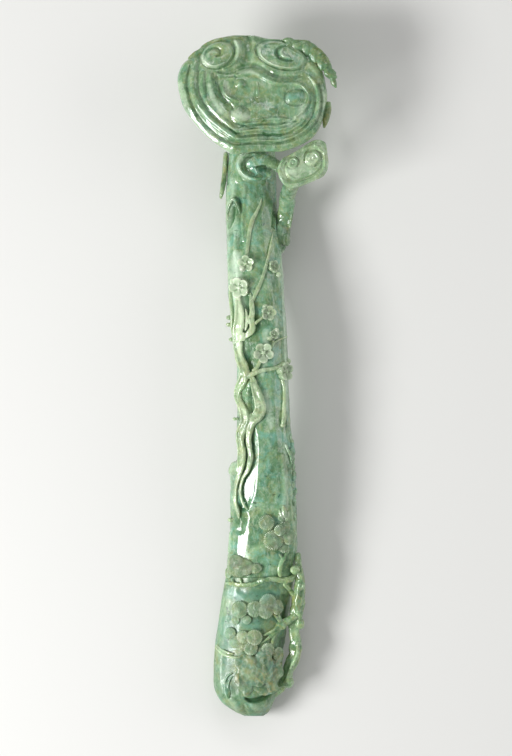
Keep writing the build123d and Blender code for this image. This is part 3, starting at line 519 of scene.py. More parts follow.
head_grooves = strokes([
    ([(190.4, 66.4, 1.5), (187.7, 80.8, 3), (188.3, 92, 3), (191.6, 103.1, 3), (197.8, 115.4, 3), (207.8, 127.7, 3),
      (218.5, 136.7, 3), (229.2, 142.5, 3), (245, 144.5, 2.4), (262, 144.5, 2.2), (280, 144.5, 2.2), (297, 139.5, 2),
      (309.5, 131.5, 1.8), (317, 121, 1.6), (320.8, 108, 1.5), (320.8, 96, 1.4), (318.5, 85, 1.2)], -1.1),
    ([(198.5, 72.1, 1.2), (198.6, 90, 1.8), (203.6, 104.4, 2), (213, 117.2, 2), (226, 128, 2), (238.2, 135.4, 1.9),
      (252, 136, 1.8), (270, 135, 1.8), (290, 134, 1.7), (303, 129, 1.5), (312, 118, 1.4), (315, 104, 1.3)], -0.7),
    ([(217, 77, 2.4), (219.6, 90, 3.2), (225, 101, 3.2), (231, 107, 2.8), (234, 110.6, 1.8)], -0.8),
    ([(218, 73, 1.4), (228.5, 73, 3), (239.4, 69, 4), (250.4, 66.6, 4.4), (260.3, 68.5, 4.2), (268.1, 73.5, 3.8),
      (277.1, 77.4, 3.4), (290.5, 78.7, 3), (301, 77, 1.6)], -1.2),
    ([(248, 37, 5), (248.6, 48, 7), (247, 60, 6)], -1.3),
    ([(237, 124.4, 1.5), (248.1, 127.3, 1.8), (259.3, 125.8, 1.8), (270.4, 124.5, 1.8), (284, 124, 1.6),
      (296, 122, 1.2)], -0.9),
])


def oval(x, y, middle, reach, lean):
    """How far out in an oval a place lies: 0 in its middle and 1 on its edge."""
    c, s = math.cos(math.radians(lean)), math.sin(math.radians(lean))
    dx, dy = x - middle[0], y - middle[1]
    return math.hypot((dx * c + dy * s) / reach[0], (dy * c - dx * s) / reach[1])


def coin(x, y, middle, reach, lean, height, edge):
    """Cushion with rounded edges over an oval."""
    return height * smooth((1 - oval(x, y, middle, reach, lean)) / edge)


def edging(x, y, middle, reach, lean, bead, moat, width):
    """Thin bead just inside the edge of an oval, and a fine groove just outside it."""
    out = (oval(x, y, middle, reach, lean) - 1) / width
    return bead * smooth(1 - abs(out + 1.3)) - moat * smooth(1 - abs(out - 0.4))


left_scroll = ((217.4, 55.2), (16.8, 13.4), -20)
right_scroll = ((281.4, 56.0), (25.2, 13.6), 16)
scroll_grooves = strokes([
    ([(204, 60, 1.2), (205.6, 54.4, 2.0), (210, 50.4, 2.4), (216, 49, 2.4), (220, 51.4, 2.2), (220, 55.4, 1.9),
      (216.4, 57, 1.3)], -1.1),
    ([(286, 46.6, 1.0), (281, 47.6, 1.8), (277.4, 50.6, 2.5), (277, 55, 2.6), (280, 59, 2.3), (286, 61.2, 1.8),
      (292, 61.4, 1.1)], -1.3),
])
scroll_crests = strokes([
    ([(202.6, 60.4, 1.5), (206.6, 66.4, 2), (215.4, 66.8, 2), (224, 63.6, 1.6)], 0.6),
    ([(208.6, 57.6, 1.4), (209.6, 54, 2.0), (213.6, 52.6, 2.0), (216.8, 53.6, 1.2)], 0.8),
    ([(259.4, 49, 1.5), (260.4, 56, 2), (267.6, 62.8, 2), (278, 67, 1.8), (292, 69.2, 1.4)], 0.6),
    ([(282.6, 50, 1.4), (281.2, 53.4, 2.4), (283.6, 56.6, 2.2), (289, 58.4, 1.4)], 1.0),
    ([(303, 58, 1.2), (306, 62.6, 1.8), (304, 66.6, 1.4)], 0.6),
])
head_specks = strokes([
    ([(263, 134, 1.6), (268, 136.4, 2.6), (273, 135.4, 1.8), (280, 136.6, 2.4)], 0.9),
    ([(230.6, 130.6, 1.4), (233.4, 132.6, 2.2), (236, 135, 1.4)], 0.8), ([(246, 128, 1.2), (252, 129.4, 1.6)], 0.5),
    ([(262, 118, 1.0), (264, 121, 1.4), (261, 124, 1.0)], 0.5), ([(240, 64, 2), (244, 68, 3.4), (239, 70, 2)], 0.35),
])
bosses = (((296, 98.5), (10.5, 7.6), -8), ((240.4, 116), (9.4, 9), 20))
head_cushions = [  # middle, reach, lean, height in millimetres and softness of the edge
    ((265, 100), (17, 12), 15, -1.1, 0.95),  # basin
    ((240.3, 85), (6.5, 6), 0, 2.0, 0.9),  # left boss
    ((295.5, 97.5), (12, 8.8), -8, 2.4, 0.8),  # right boss
    ((240, 115.5), (11, 10.5), 20, 1.9, 0.9),  # lower boss
]
rim_tree = stroke([(*p, 1) for p in head_outline + head_outline[:1]])[0]


def bevel(inside):
    """Height of the head's face without its carving, rising from its rim in millimetres."""
    return 0.38 * min(inside, 7) + 0.65 * smooth((inside - 7) / 13)


def head_relief(x, y):
    """Height of the carving above the head's face in millimetres, and its mark: painted highlight on the fine crests,
    painted shade in the fine grooves, and the stone's dark specks.
    """
    inside = rim_tree.find((x, y, 0))[2]
    grooves = carve(x, y, head_grooves, 0.25)
    level = bevel(inside) + carve(x, y, head_ridges, 0.25) + 0.55 * grooves
    fine = 0.45 * grooves
    scrolls = coin(x, y, *left_scroll, 1.7, 0.26) + coin(x, y, *right_scroll, 1.7, 0.22)
    fine += edging(x, y, *left_scroll, 0.5, 0.7, 0.11) + edging(x, y, *right_scroll, 0.6, 0.75, 0.09)
    fine += edging(x, y, *bosses[0], 0.2, 0.6, 0.18) + edging(x, y, *bosses[1], 0.1, 0.4, 0.2)
    if scrolls > 0:
        level += scrolls
        fine += carve(x, y, scroll_grooves + scroll_crests, 0.3) * min(scrolls / 1.4, 1)
    for cushion in head_cushions:
        level += coin(x, y, *cushion)
    rippled = smooth((y - 116) / 10) * smooth((inside - 5) / 6) * smooth((x - 225) / 25)
    fine += 0.36 * rippled * math.cos(inside * 1.75 + 1.2 * noise.noise(Vector((x * 0.05, y * 0.05, 3))))
    place = Vector((x * 0.09, y * 0.09, 0))
    level += fine + noise.noise(place) * 0.35 + noise.noise(place * 3.1) * 0.12
    # Painted highlight on the fine crests and painted shade in the fine grooves and moats, darkened further by the
    # stone's own dark specks
    mark = fine * (0.5 if fine > 0 else 0.34) - carve(x, y, head_specks)
    return level, min(max(mark, -0.5), 0.45)


def cap_of(outline, middle, face, relief, profile, sides, face_count, side_count, end=0.97, widest=1.02,
           ripple=(0.6, 0.1, 0.2, 6)):
    """Closed cap of a carved face inside an outline, with a rounded side and underside, and its marks of painted
    shade and highlight.

    relief gives height and mark (painted shade and highlight) at a place; profile gives share of the outline and
    level down the side;
    ripple is the side's unevenness: strength, scale round it, scale down it, and rings over which it grows.
    """
    edges = [through(outline, 1 - k / sides, closed=True) for k in range(sides)]
    strength, scale_round, scale_down, growth = ripple
    rings, marks = [], []
    for i in range(1, face_count + side_count + 1):
        on_side = i - face_count
        share, level = through(profile, on_side / side_count) if on_side > 0 else (end * i / face_count, 0.0)
        share = min(share, widest)
        ring = []
        for edge in edges:
            x, y = middle[0] + (edge[0] - middle[0]) * share, middle[1] + (edge[1] - middle[1]) * share
            if on_side > 0:
                uneven = noise.noise(Vector((x * scale_round, y * scale_round, level * scale_down)))
                height, mark = level + uneven * strength * min(on_side / growth, 1), 0.0
            else:
                height, mark = relief(x, y)
            ring.append(face(x, y, height))
            marks.append(mark)
        rings.append(ring)
    points, faces = skin_of(rings)
    points[-2] = face(*middle, relief(*middle)[0])
    return points, faces, marks + [0.0, 0.0]


head_middle = (252.0, 95.0)
head_profile = [(0.985, 0.3), (1.0, -1.6), (1.0, -4.6), (0.93, -8.6), (0.72, -11.8), (0.42, -12.4), (0.1, -12.4)]
points, faces, marks = cap_of(
    head_outline, head_middle, head_face, head_relief, head_profile, 440, 120, 36, 0.985, 1.0, (1.2, 0.07, 0.15, 8))
head_jade = jade("head_jade", tint=(0.99, 0.99, 0.97), white=0.38, russet=0.28, turquoise=0.35)
carved(
    stone("head_carving", points, faces, head_jade, marks),
    "head_cap", "head_lower_tier", "head_upper_tier", "head_rim_bead", "head_lower_bead", "head_upper_bead",
    "head_scroll_left", "head_scroll_right", "head_wave", "head_ripple", "head_bosses",
)


def standing(x, y, lift, base="spine"):
    """Point lifted from the height of the trunk's spine, or from the table, lift in millimetres."""
    ground = trunk_at(y)[2] if base == "spine" else 0.0
    return Vector((across(x), along(y), ground + lift * millimetre))


def limb(rows, base="skin", flat=0.85, knots=0.12, seed=0.0, sides=16, cords=0.0, furrow=0.0):
    """Closed knotted limb through rows of place, half width in picture units and lift in millimetres.

    It lies on the trunk's skin, or is lifted from the height of the trunk's spine or from the table.
    """
    run = sum(math.dist(a[:2], b[:2]) for a, b in zip(rows, rows[1:]))
    count = max(10, int(run / 0.8))
    spots = []
    for i in range(count + 1):
        x, y, half_width, lift = through(rows, i / count)
        if base == "skin":
            centre, normal = skin(x, y, lift)
        else:
            centre, normal = standing(x, y, lift, base), Vector((0, 0, 1))
        spots.append((centre, normal, max(half_width, 0.1) * column_width * millimetre))
    gone = [0.0]
    for a, b in zip(spots, spots[1:]):
        gone.append(gone[-1] + (b[0] - a[0]).length)
    rings = []
    for i, (centre, normal, half_width) in enumerate(spots):
        heading = (spots[min(i + 1, count)][0] - spots[max(i - 1, 0)][0]).normalized()
        side = heading.cross(normal).normalized()
        rise = side.cross(heading).normalized()
        end = min(gone[i], gone[-1] - gone[i]) / half_width + 0.02
        cut = math.sqrt(1 - (1 - min(end, 1)) ** 2)
        ring = []
        for k in range(sides):
            angle = 2 * math.pi * k / sides
            swell = 1 + knots * noise.noise(Vector((math.cos(angle), math.sin(angle), seed)) * 0.9 + centre * 260)
            swell += cords * math.cos(3 * angle + 2.5 * noise.noise(centre * 90 + Vector((seed, 0, 0))))
            crown = max(math.sin(angle + 0.5 * noise.noise(centre * 70 + Vector((0, seed, 0)))), 0)
            swell -= furrow * crown ** 10
            ring.append(centre + half_width * cut * swell * (side * math.cos(angle) + rise * math.sin(angle) * flat))
        rings.append(ring)
    return skin_of(rings)


def pebble(centre, reach, lumps, seed, turn=0.0):
    """Closed lumpy pebble about a point, with its reach along x, y and z in millimetres."""
    sides = 18
    c, s = math.cos(math.radians(turn)), math.sin(math.radians(turn))
    rings = []
    for i in range(1, sides):
        tilt = math.pi * i / sides
        ring = []
        for k in range(sides):
            angle = 2 * math.pi * k / sides
            way = Vector((math.sin(tilt) * math.cos(angle), math.sin(tilt) * math.sin(angle), math.cos(tilt)))
            swell = 1 + lumps * noise.noise(way * 1.6 + Vector((seed, seed, 0)))
            u, v = way.x * reach[0] * swell, way.y * reach[1] * swell
            ring.append(centre + Vector((u * c - v * s, u * s + v * c, way.z * reach[2] * swell)) * millimetre)
        rings.append(ring)
    return skin_of(rings)


def together(shapes):
    """Points and faces of several closed shapes."""
    points, faces = [], []
    for shape_points, shape_faces in shapes:
        start = len(points)
        points += shape_points
        faces += [tuple(start + i for i in face) for face in shape_faces]
    return points, faces


def fused(node, shapes, material, voxel, smoothing, grain=0.0, grain_scale=700):
    """Finish a carved element as several closed shapes, melted into one smooth skin with soft forks."""
    name = node + "_carving"
    points, faces = together(shapes)
    mesh = bpy.data.meshes.new(name)
    mesh.from_pydata([tuple(v) for v in points], [], faces)
    rough = bpy.data.objects.new("rough", mesh)
    bpy.context.scene.collection.objects.link(rough)
    melt = rough.modifiers.new("melt", "REMESH")
    melt.mode = "VOXEL"
    melt.voxel_size = voxel * millimetre
    soften = rough.modifiers.new("soften", "SMOOTH")
    soften.factor = 0.5
    soften.iterations = smoothing
    whole = bpy.data.meshes.new_from_object(rough.evaluated_get(bpy.context.evaluated_depsgraph_get()))
    bpy.data.objects.remove(rough)
    spots = [v.co + v.normal * grain * millimetre * noise.noise(v.co * grain_scale) for v in whole.vertices]
    faces = [tuple(polygon.vertices) for polygon in whole.polygons]
    bpy.data.meshes.remove(whole)
    carved(stone(name, spots, faces, material), node)


stalk_middle = Vector((across(252), along(97), 0))
stalk_rings, stalk_sides = 24, 64
stalk_foot, stalk_height, stalk_radius, stalk_flare = 22, 15.5, 8.0, 9.5  # millimetres
flute_count, flute_depth, unevenness = 7, 0.05, 0.06
rings = []
for i in range(stalk_rings + 1):
    share = i / stalk_rings
    height = (stalk_foot + stalk_height * share) * millimetre
    radius = (stalk_radius + stalk_flare * share ** 1.6) * millimetre
    ring = []
    for k in range(stalk_sides):
        angle = 2 * math.pi * k / stalk_sides
        flute = 1 + flute_depth * math.cos(flute_count * angle + 1.5 * share) + unevenness * noise.noise(
            Vector((math.cos(angle) * 1.5, math.sin(angle) * 1.5, share)))
        lean = Vector((0, share * 1.5 * millimetre, -math.sin(angle) * radius * 0.2 * share))
        ring.append(stalk_middle + lean + Vector((
            math.cos(angle) * radius * flute, math.sin(angle) * radius * flute, height)))
    rings.append(ring)
carved(stone("head_stalk_carving", *skin_of(rings), head_jade), "head_stalk")

# Leaves at the rim: a spray of small overlapping leaves at the upper right, left in the russet
# skin of the stone, a long sliver at the upper left and a small leaf at the right.
leaf_jade = jade("leaf_jade", tint=(0.84, 0.80, 0.66), white=0.45, russet=0.75, turquoise=0.35, gloss=0.2)


def leaf(centre, length, width, height, turn, tilt, rib, seed=0.0):
    """Closed pointed leaf with a raised midrib, sizes in millimetres, laid flat and turned."""
    rings = []
    for i in range(1, 16):
        share = i / 16
        half = width / 2 * math.sin(math.pi * share ** 0.8) ** 0.8 + 0.05
        ring = []
        for k in range(20):
            angle = 2 * math.pi * k / 20
            across_leaf = math.cos(angle) * half * (1 + 0.12 * noise.noise(Vector((share * 5, angle, seed))))
            dome = math.sin(angle) * height * (0.5 if angle > math.pi else 1) * math.sin(math.pi * share) ** 0.6
            dome += rib * max(0, 1 - abs(across_leaf) / (half * 0.25)) * 0.4 * (angle < math.pi)
            local = Vector(((share - 0.5) * length, across_leaf, dome + tilt * (share - 0.5) * length))
            ring.append(centre + Matrix.Rotation(math.radians(turn), 3, "Z") @ local * millimetre)
        rings.append(ring)
    return skin_of(rings)


spray_jade = jade(
    "spray_jade", tint=(0.72, 0.77, 0.64), white=0.3, russet=0.5, turquoise=0.5, gloss=0.26, coat=0.2)
rim_rows = [
    (287, 43.5, 1.6, -8), (296, 45.5, 4, -14), (305, 48, 4.6, -24), (313, 52.5, 4.8, -38), (320, 59.5, 4.6, -48),
    (326, 68, 3.8, -56), (331, 77, 2.8, -62),
]
spray = [
    leaf(head_face(288.5, 41.6, 1.2), 8, 4.4, 1.8, 168, 0, 0.7),
    leaf(head_face(333.6, 83.4, -0.3), 8, 3.6, 1.6, -66, 0, 0.7),
]
for i in range(13):
    x, y, r, heading = through(rim_rows, i / 12)
    spray.append(pebble(head_face(x, y, -0.5), (r * 0.72, r * 0.72, 1.7), 0.3, x))
    sway = 30 * noise.noise(Vector((i * 1.37, 0.5, 2.0)))
    grown = 1 + 0.5 * noise.noise(Vector((i * 0.93, 4.5, 1.0)))
    spray.append(leaf(
        head_face(x + 0.3 * r, y - 0.3 * r, 0.8 + grown * 0.3), r * 2.0 * grown + 1.4, r * 1.15 + 0.8, 1.7,
        heading + 26 + sway, -0.1, 0.5, i * 1.7))
    if i % 2:
        spray.append(leaf(
            head_face(x - 0.4 * r, y + 0.35 * r, 1.5), r * 1.9 + 1.4, r * 1.1 + 0.8, 1.7,
            heading - 26 + sway * 1.4, -0.1, 0.5, i * 2.3))
fused("rim_spray", spray, spray_jade, voxel=0.32, smoothing=2, grain=0.15, grain_scale=420)
sliver = [leaf(head_face(x, y, level), length, width, 1.3, turn, 0, 0.4, x) for x, y, length, width, turn, level in [
    (198, 53.8, 16, 4, 35, 0.2), (211, 45, 18, 4.5, 29, 0.3), (226, 40.2, 17, 3.4, 11, 0.2),
    (236, 38.6, 11, 2.6, 2, 0.2),
]]
fused("rim_leaf_left", sliver, leaf_jade, voxel=0.34, smoothing=2, grain=0.1)
small_leaf = [leaf(head_face(326.3, 115.5, -4.4), 18.5, 5, 1.6, -100, 0, 0.5, 3.0)]
fused("rim_leaf_right", small_leaf, leaf_jade, voxel=0.34, smoothing=1)

# Small lingzhi: a second fungus head to the right of the neck, with two scrolls and a bead, on a
# thick stem that grows out of the trunk's right side and swells into a knot.
small_outline = [
    (277.4, 170.5), (279, 164.5), (282.5, 159), (288, 156), (296, 151.5), (303, 147), (307.5, 144), (313, 141),
    (319.6, 140.2), (325, 143), (326.7, 148), (327.4, 154), (328.4, 163), (327, 171), (323, 177), (315, 181),
    (307, 184.6), (298, 188), (291, 188.6), (285, 186), (280, 180),
]
small_middle = (303, 164)
small_face = leaning_plane(small_middle, 47.0, 4.0, 8.0)
small_ridges = strokes([
    ([(283, 160, 1.5), (279.8, 166, 2.4), (279.8, 174, 2.8), (283.5, 181.5, 3), (290, 185.6, 3), (298, 184.8, 2.8),
      (307, 181.4, 2.6), (315, 178, 2.4), (321.5, 174, 2.4), (324.8, 168, 2.4), (325.6, 161, 2.3), (323.8, 153, 2),
      (319.5, 149.5, 1.5)], 1.5),
    ([(289, 176, 1.4), (296, 180, 1.8), (304, 177.6, 1.8), (312, 174, 1.8), (318, 170, 1.6)], 0.6),
    ([(303, 150, 1.2), (311, 146.5, 1.8), (319.5, 147.6, 1.4)], 0.5),
])
small_grooves = strokes([
    ([(287, 163, 1.2), (284.5, 170, 2), (287, 178, 2), (294, 181.4, 1.8), (303, 180, 1.6), (313, 175.6, 1.5),
      (320.5, 169, 1.5), (322, 160, 1.3)], -1.0),
    ([(304.2, 161, 1.2), (306.5, 153, 1.7), (313, 150.2, 1.7), (319.5, 154.5, 1.6), (319.8, 161.5, 1.5),
      (315, 166, 1.4)], -1.3),
    ([(288.5, 166, 1), (289, 160, 1.3), (294, 157.5, 1.3), (298.2, 161.5, 1.2), (297, 167, 1)], -1.0),
])


def spiral(middle, reach, start, turns, width):
    """Rows of a groove that winds into an oval scroll."""
    steps_round, inward, thinner = 12, 0.75, 0.35
    steps = round(turns * steps_round)
    rows = []
    for i in range(steps + 1):
        turn = math.radians(start) + 2 * math.pi * i / steps_round
        shrink = 1 - inward * (i / steps) ** 0.85
        rows.append((middle[0] + reach[0] * shrink * math.cos(turn), middle[1] + reach[1] * shrink * math.sin(turn),
                     width * (1 - thinner * i / steps)))
    return rows


small_scrolls = [((312.4, 158.6), (8.4, 7.8)), ((292.6, 163.2), (6.0, 5.8))]
small_spirals = strokes([
    (spiral(small_scrolls[0][0], (5.6, 5.2), 150, 1.1, 1.9), -0.6),
    (spiral(small_scrolls[1][0], (4.0, 3.9), 200, 1.0, 1.6), -0.55),
])
small_rim = stroke([(*p, 1) for p in small_outline + small_outline[:1]])[0]


def small_relief(x, y):
    """Height of the carving above the small head's face in millimetres, and no mark."""
    inside = small_rim.find((x, y, 0))[2]
    level = -0.7 + 1.3 * smooth(inside / 8) + carve(x, y, small_ridges, 0.3) + carve(x, y, small_grooves, 0.3)
    for scroll in small_scrolls:
        level += coin(x, y, *scroll, 0, 1.1, 0.4) + edging(x, y, *scroll, 0, 0.3, 0.35, 0.2)
    level += carve(x, y, small_spirals, 0.2) + coin(x, y, (315.5, 145.2), (2.7, 2.7), 0, 1.4, 0.9)
    return level + noise.noise(Vector((x * 0.12, y * 0.12, 4))) * 0.3, 0.0


neck_jade = jade("neck_jade", tint=(0.82, 0.84, 0.80), white=0.4, russet=0.4, turquoise=0.35)
cap_jade = jade("cap_jade", tint=(1.12, 1.12, 1.08), white=0.6, russet=0.3, turquoise=0.3, bleach=0.1)
small_profile = [(0.97, -0.6), (1.0, -1.6), (0.985, -3.2), (0.9, -5.4), (0.72, -6.9), (0.4, -7.2), (0.1, -7.2)]
cap_shape = cap_of(small_outline, small_middle, small_face, small_relief, small_profile, 260, 56, 20)[:2]
carved(stone("small_lingzhi_carving", *cap_shape, cap_jade), "small_lingzhi_cap", "small_lingzhi_scrolls")
knot_column, knot_row = 286, 239.5
small_stem = [
    limb([(295, 176, 6.5, 41), (292, 184, 7.5, 36), (289, 192, 8, 29), (287, 203, 8.2, 22), (285.5, 214, 8, 17),
          (284, 226, 7.5, 15), (283, 237, 7.2, 14.2), (280, 247, 5.5, 14), (276, 257, 3, 14)],
         "table", 1.0, 0.16, 3.1, cords=0.05),
    limb([(291, 190, 1.2, 37), (293.2, 202, 1.6, 27), (291.5, 216, 1.6, 22), (290, 228, 1.2, 19)], "table", 1.0),
    limb([(281, 222, 4, 17.5), (280, 230, 6.4, 17.6), (278, 240, 6.6, 17), (275, 250, 5, 16.6), (271, 259, 3, 17)],
         "table", 1.0, 0.2, 5.1),
    pebble(standing(knot_column, knot_row, 17.2, "table"), (2.6, 4.2, 3.4), 0.2, 3.3),
]
lip_steps, lip_reach, lip_lean, lip_half_width, lip_lift, lip_tilt = 24, (2.6, 5.0), 1.0, 0.9, 19.6, 0.9
lip_rows = []
for i in range(lip_steps + 1):
    angle = 2 * math.pi * i / lip_steps
    lip_rows.append((
        knot_column + lip_reach[0] * math.cos(angle) - lip_lean * math.sin(angle),
        knot_row + lip_reach[1] * math.sin(angle), lip_half_width, lip_lift - lip_tilt * math.cos(angle)))
small_stem.append(limb(lip_rows, "table", 1.0, 0.1))
fused("small_lingzhi_stem", small_stem, neck_jade, voxel=0.5, smoothing=3, grain=0.06)

# Curled lingzhi: a fungus seen from the side below the big head's near edge. Its lip rolls round
# a blue-green hollow, and its stem springs over an undercut gap and back into the trunk.
curl_outline = [
    (236, 166), (237.2, 160), (241, 154.5), (248, 152), (256, 152), (262, 154.2), (263, 158), (258, 161.5),
    (256, 168), (258, 173), (262.5, 176), (262, 179.5), (256, 181.6), (248, 180.2), (241, 176.5), (237.4, 171.5),
]
curl_middle = (248.5, 166.5)
curl_face = leaning_plane((249, 166), 38.6, 3.0, -6.0)
curl_lines = strokes([
    ([(262, 156, 2), (255, 154.6, 3), (247, 155.4, 3.6), (240.8, 160.2, 3.8), (239.4, 167, 3.6), (242.4, 173.2, 3.2),
      (249, 177.6, 2.6), (257, 179, 2.2), (262, 178, 1.5)], 2.2),
    ([(258, 160, 1.5), (250, 160.6, 2.8), (246.6, 165, 3.4), (248, 171, 3.4), (254, 174, 2.6)], -1.2),
    ([(250, 166.4, 1.2), (254, 168.6, 2), (258.6, 171, 1.4)], 0.5),
])
curl_profile = [(0.96, -0.4), (1.0, -1.6), (0.98, -3.6), (0.86, -6), (0.6, -7.6), (0.3, -7.8), (0.1, -7.8)]
curl_shape = cap_of(
    curl_outline, curl_middle, curl_face, lambda x, y: (carve(x, y, curl_lines, 0.2), 0.0), curl_profile,
    200, 40, 16, 0.96)[:2]
curl_jade = jade("curl_jade", tint=(1.02, 1.04, 1.04), white=0.7, russet=0.2, turquoise=0.95)
carved(stone("curled_lingzhi_carving", *curl_shape, curl_jade), "curled_lingzhi")
curl_stem = [
    limb([(246.6, 167.6, 2.4, 38.6), (251, 163.6, 4.4, 39.8), (257.5, 160.8, 5.4, 40.4), (265, 160, 5.8, 40.2),
          (272, 162.6, 5.8, 39), (278.5, 167, 5.4, 37.2), (283.4, 173, 5, 35), (286.4, 180, 4.6, 32.6),
          (288, 188, 4, 30)],
         "table", 0.62, 0.14, 1.3, furrow=0.15),
    limb([(268, 164, 3, 36), (269.6, 168, 3.4, 30), (269, 173, 3.8, 24), (267, 178, 4, 18)], "table", 0.9, 0.2, 1.7),
]
fused("curled_lingzhi_stem", curl_stem, curl_jade, voxel=0.45, smoothing=2)
curl_root = [
    limb([(243, 166, 4, 35), (244.5, 170, 5, 29), (247, 175, 6, 23), (249, 180, 6, 18)], "table", 0.9, 0.15, 2.0),
    pebble(standing(262, 172, 22, "table"), (6, 4.5, 4), 0.3, 5.0),
]
fused("curled_lingzhi_root", curl_root, trunk_jade, voxel=0.5, smoothing=3)

# Neck leaf: a long leaf that hangs at the left of the neck, held along its whole length by the
# trunk. It lies in the russet skin of the stone, ribbed and only lightly polished.
hanging = [
    limb([(226, 151, 2.2, 2.5), (225.4, 160, 2.5, 2.2), (224.6, 172, 2.6, 2), (223.2, 184, 2.6, 1.8),
          (221.6, 193, 2.2, 1.4), (220.4, 198.5, 1.2, 1)], "spine", 1.9, 0.05, 6.0, cords=0.08),
]
fused("neck_leaf", hanging, leaf_jade, voxel=0.4, smoothing=2, grain=0.12)

# Lips of the knothole: two thin folds of bark that meet over the dark slit near the neck. They are
# left standing when the slit is drilled and scraped out.
lips = [limb([(228.5, 222, 1, 0.4), (229, 212, 1.6, 0.7), (231, 204, 1.7, 0.9), (233.6, 198.6, 1.7, 1),
              (236.5, 201, 1.6, 0.9), (238.6, 206.5, 1.4, 0.7), (240, 214, 0.9, 0.3)], flat=0.9, knots=0.2, seed=4.0)]
fused("knothole_lip", lips, neck_jade, voxel=0.35, smoothing=2)

# Prunus: an old plum that climbs the shaft. Its strands cross and leave an eye between them, and
# every branch is left standing when the ground round it is cut back. Edges are thin and glossy.
branch_jade = jade(
    "branch_jade", tint=(1.02, 1.03, 0.92), white=0.8, russet=0.35, turquoise=0.1, gloss=0.2, bleach=0.2, coat=0.24)
main_rows = [
    (238, 292, 1.5, 0.3), (239.1, 303, 3.2, 0.8), (241.8, 317.9, 3.6, 1.1), (240.6, 330, 3.8, 1.3),
    (240.2, 341, 3.8, 1.3), (240.9, 351, 3.4, 1.2), (243.6, 361, 3.5, 1.3), (246.6, 371.5, 3.9, 1.5),
    (244.9, 381, 3.6, 1.3), (240.9, 389.3, 3.4, 1.1), (240.2, 397, 3.4, 1.0), (242.7, 405.4, 3.4, 1.2),
    (246.3, 413, 3.8, 1.3), (247.6, 420, 3.9, 1.3), (245, 428.6, 3.8, 1.3), (242.4, 438, 3.7, 1.2),
    (243.6, 449, 3.4, 1.1), (243.6, 461, 3.1, 1.0), (241, 471.5, 2.6, 0.9), (237.6, 482, 2.2, 0.7),
    (236, 493, 2.0, 0.6), (236.2, 503, 2.2, 0.6), (238.3, 512, 1.9, 0.4), (239.2, 519, 0.8, 0.1),
]
main_shapes = [
    limb([(x, y, r * 1.14, lift) for x, y, r, lift in main_rows],
         flat=0.72, knots=0.28, seed=1.0, furrow=0.34, sides=24),
    limb([(238.4, 300, 1.2, 2.4), (238.6, 318, 1.5, 3.0), (237.6, 332, 1.5, 3.1), (238.6, 348, 1.4, 2.9),
          (241.8, 362, 1.4, 3.0), (244, 374, 1.4, 3.2), (239.6, 388, 1.3, 2.7), (239, 397, 1.3, 2.6),
          (243.4, 410, 1.4, 3.0), (244.4, 421, 1.3, 3.1), (240.6, 434, 1.3, 2.8), (241.6, 450, 1.2, 2.6),
          (240, 468, 1, 2.1)], flat=0.8, knots=0.1, seed=2.0),
    pebble(skin(247.5, 373, 1.6)[0], (2.8, 3.2, 2.0), 0.2, 3.0),
    pebble(skin(244, 336.5, 1.6)[0], (2.4, 2.8, 1.8), 0.2, 4.0),
]
fused("prunus_main_branch", main_shapes, branch_jade, voxel=0.42, smoothing=2, grain=0.10)
upper_shapes = [
    limb([(250.4, 292, 0.6, 0.1), (251.6, 302, 2.4, 0.9), (252.5, 311, 2.8, 1.2), (251.8, 320.5, 2.9, 1.2),
          (253, 328.5, 3.2, 1.2), (250, 333.4, 3.1, 1.2), (244.6, 337.5, 2.4, 1.0)],
         flat=0.75, knots=0.25, seed=5.0, furrow=0.3, sides=24),
    limb([(245.4, 308, 0.8, 0.1), (247, 316, 1.8, 0.4), (247, 324, 1.8, 0.5),
          (245.5, 331, 1.2, 0.6)], flat=0.6, seed=6.0),
]
fused("prunus_upper_branch", upper_shapes, branch_jade, voxel=0.42, smoothing=2, grain=0.08)
right_shapes = [
    limb([(251.6, 376, 2.4, 0.7), (254.6, 383, 3.3, 0.9), (257.6, 391, 4.0, 1.0), (260.2, 400, 4.5, 1.1),
          (261.8, 408.6, 4.6, 1.1), (258.6, 416.2, 4.6, 1.1), (253.8, 421.4, 4.6, 1.0), (250.8, 428, 3.8, 1.0),
          (249.4, 439, 2.9, 1.1), (250.2, 448, 2.8, 1.1), (251.2, 456, 2.8, 1.1), (250, 464, 2.6, 1.0),
          (247.4, 471.5, 2.2, 0.9), (243.4, 478, 1.7, 0.7), (241.3, 486, 1.4, 0.6), (240.9, 494, 1.3, 0.6),
          (243.2, 503.5, 1.3, 0.5), (248, 510, 0.7, 0.2)], flat=0.75, knots=0.25, seed=7.0, furrow=0.32, sides=24),
    limb([(251.8, 382, 1.0, 1.6), (254, 392, 1.3, 2.1), (256.2, 402, 1.4, 2.3), (256.4, 409, 1.3, 2.2),
          (253.4, 414.6, 0.9, 1.8)],
         flat=0.9, seed=8.0),
    pebble(skin(251.6, 416.8, 0.3)[0], (3.4, 2.4, 1.5), 0.2, 5.0),
]
fused("prunus_right_strand", right_shapes, branch_jade, voxel=0.42, smoothing=2, grain=0.08)
side_shapes = [
    limb([(245, 378, 2.6, 0.9), (250.5, 375.4, 2.8, 1.1), (256, 372.6, 2.6, 1.1), (263, 370.2, 2.3, 1.0),
          (271.5, 368.8, 2.0, 1.0), (278, 366.6, 1.9, 1.0), (283, 362.4, 1.8, 0.9)], flat=0.9, knots=0.12, seed=9.0),
]
fused("prunus_side_branch", side_shapes, branch_jade, voxel=0.4, smoothing=2)
edge_shapes = [
    limb([(230.6, 290, 1.4, 0.5), (232, 303, 1.8, 0.8), (233.4, 314, 2.0, 1.0), (233.6, 325, 2.0, 1.0),
          (233.6, 336, 2.1, 1.0), (235.4, 347, 2.0, 0.9), (237.6, 357, 1.8, 0.8),
          (239.6, 367, 1.2, 0.5)], flat=1.0, knots=0.2, seed=10.0, cords=0.08),
]
fused("prunus_edge_branch", edge_shapes, branch_jade, voxel=0.4, smoothing=2, grain=0.1)
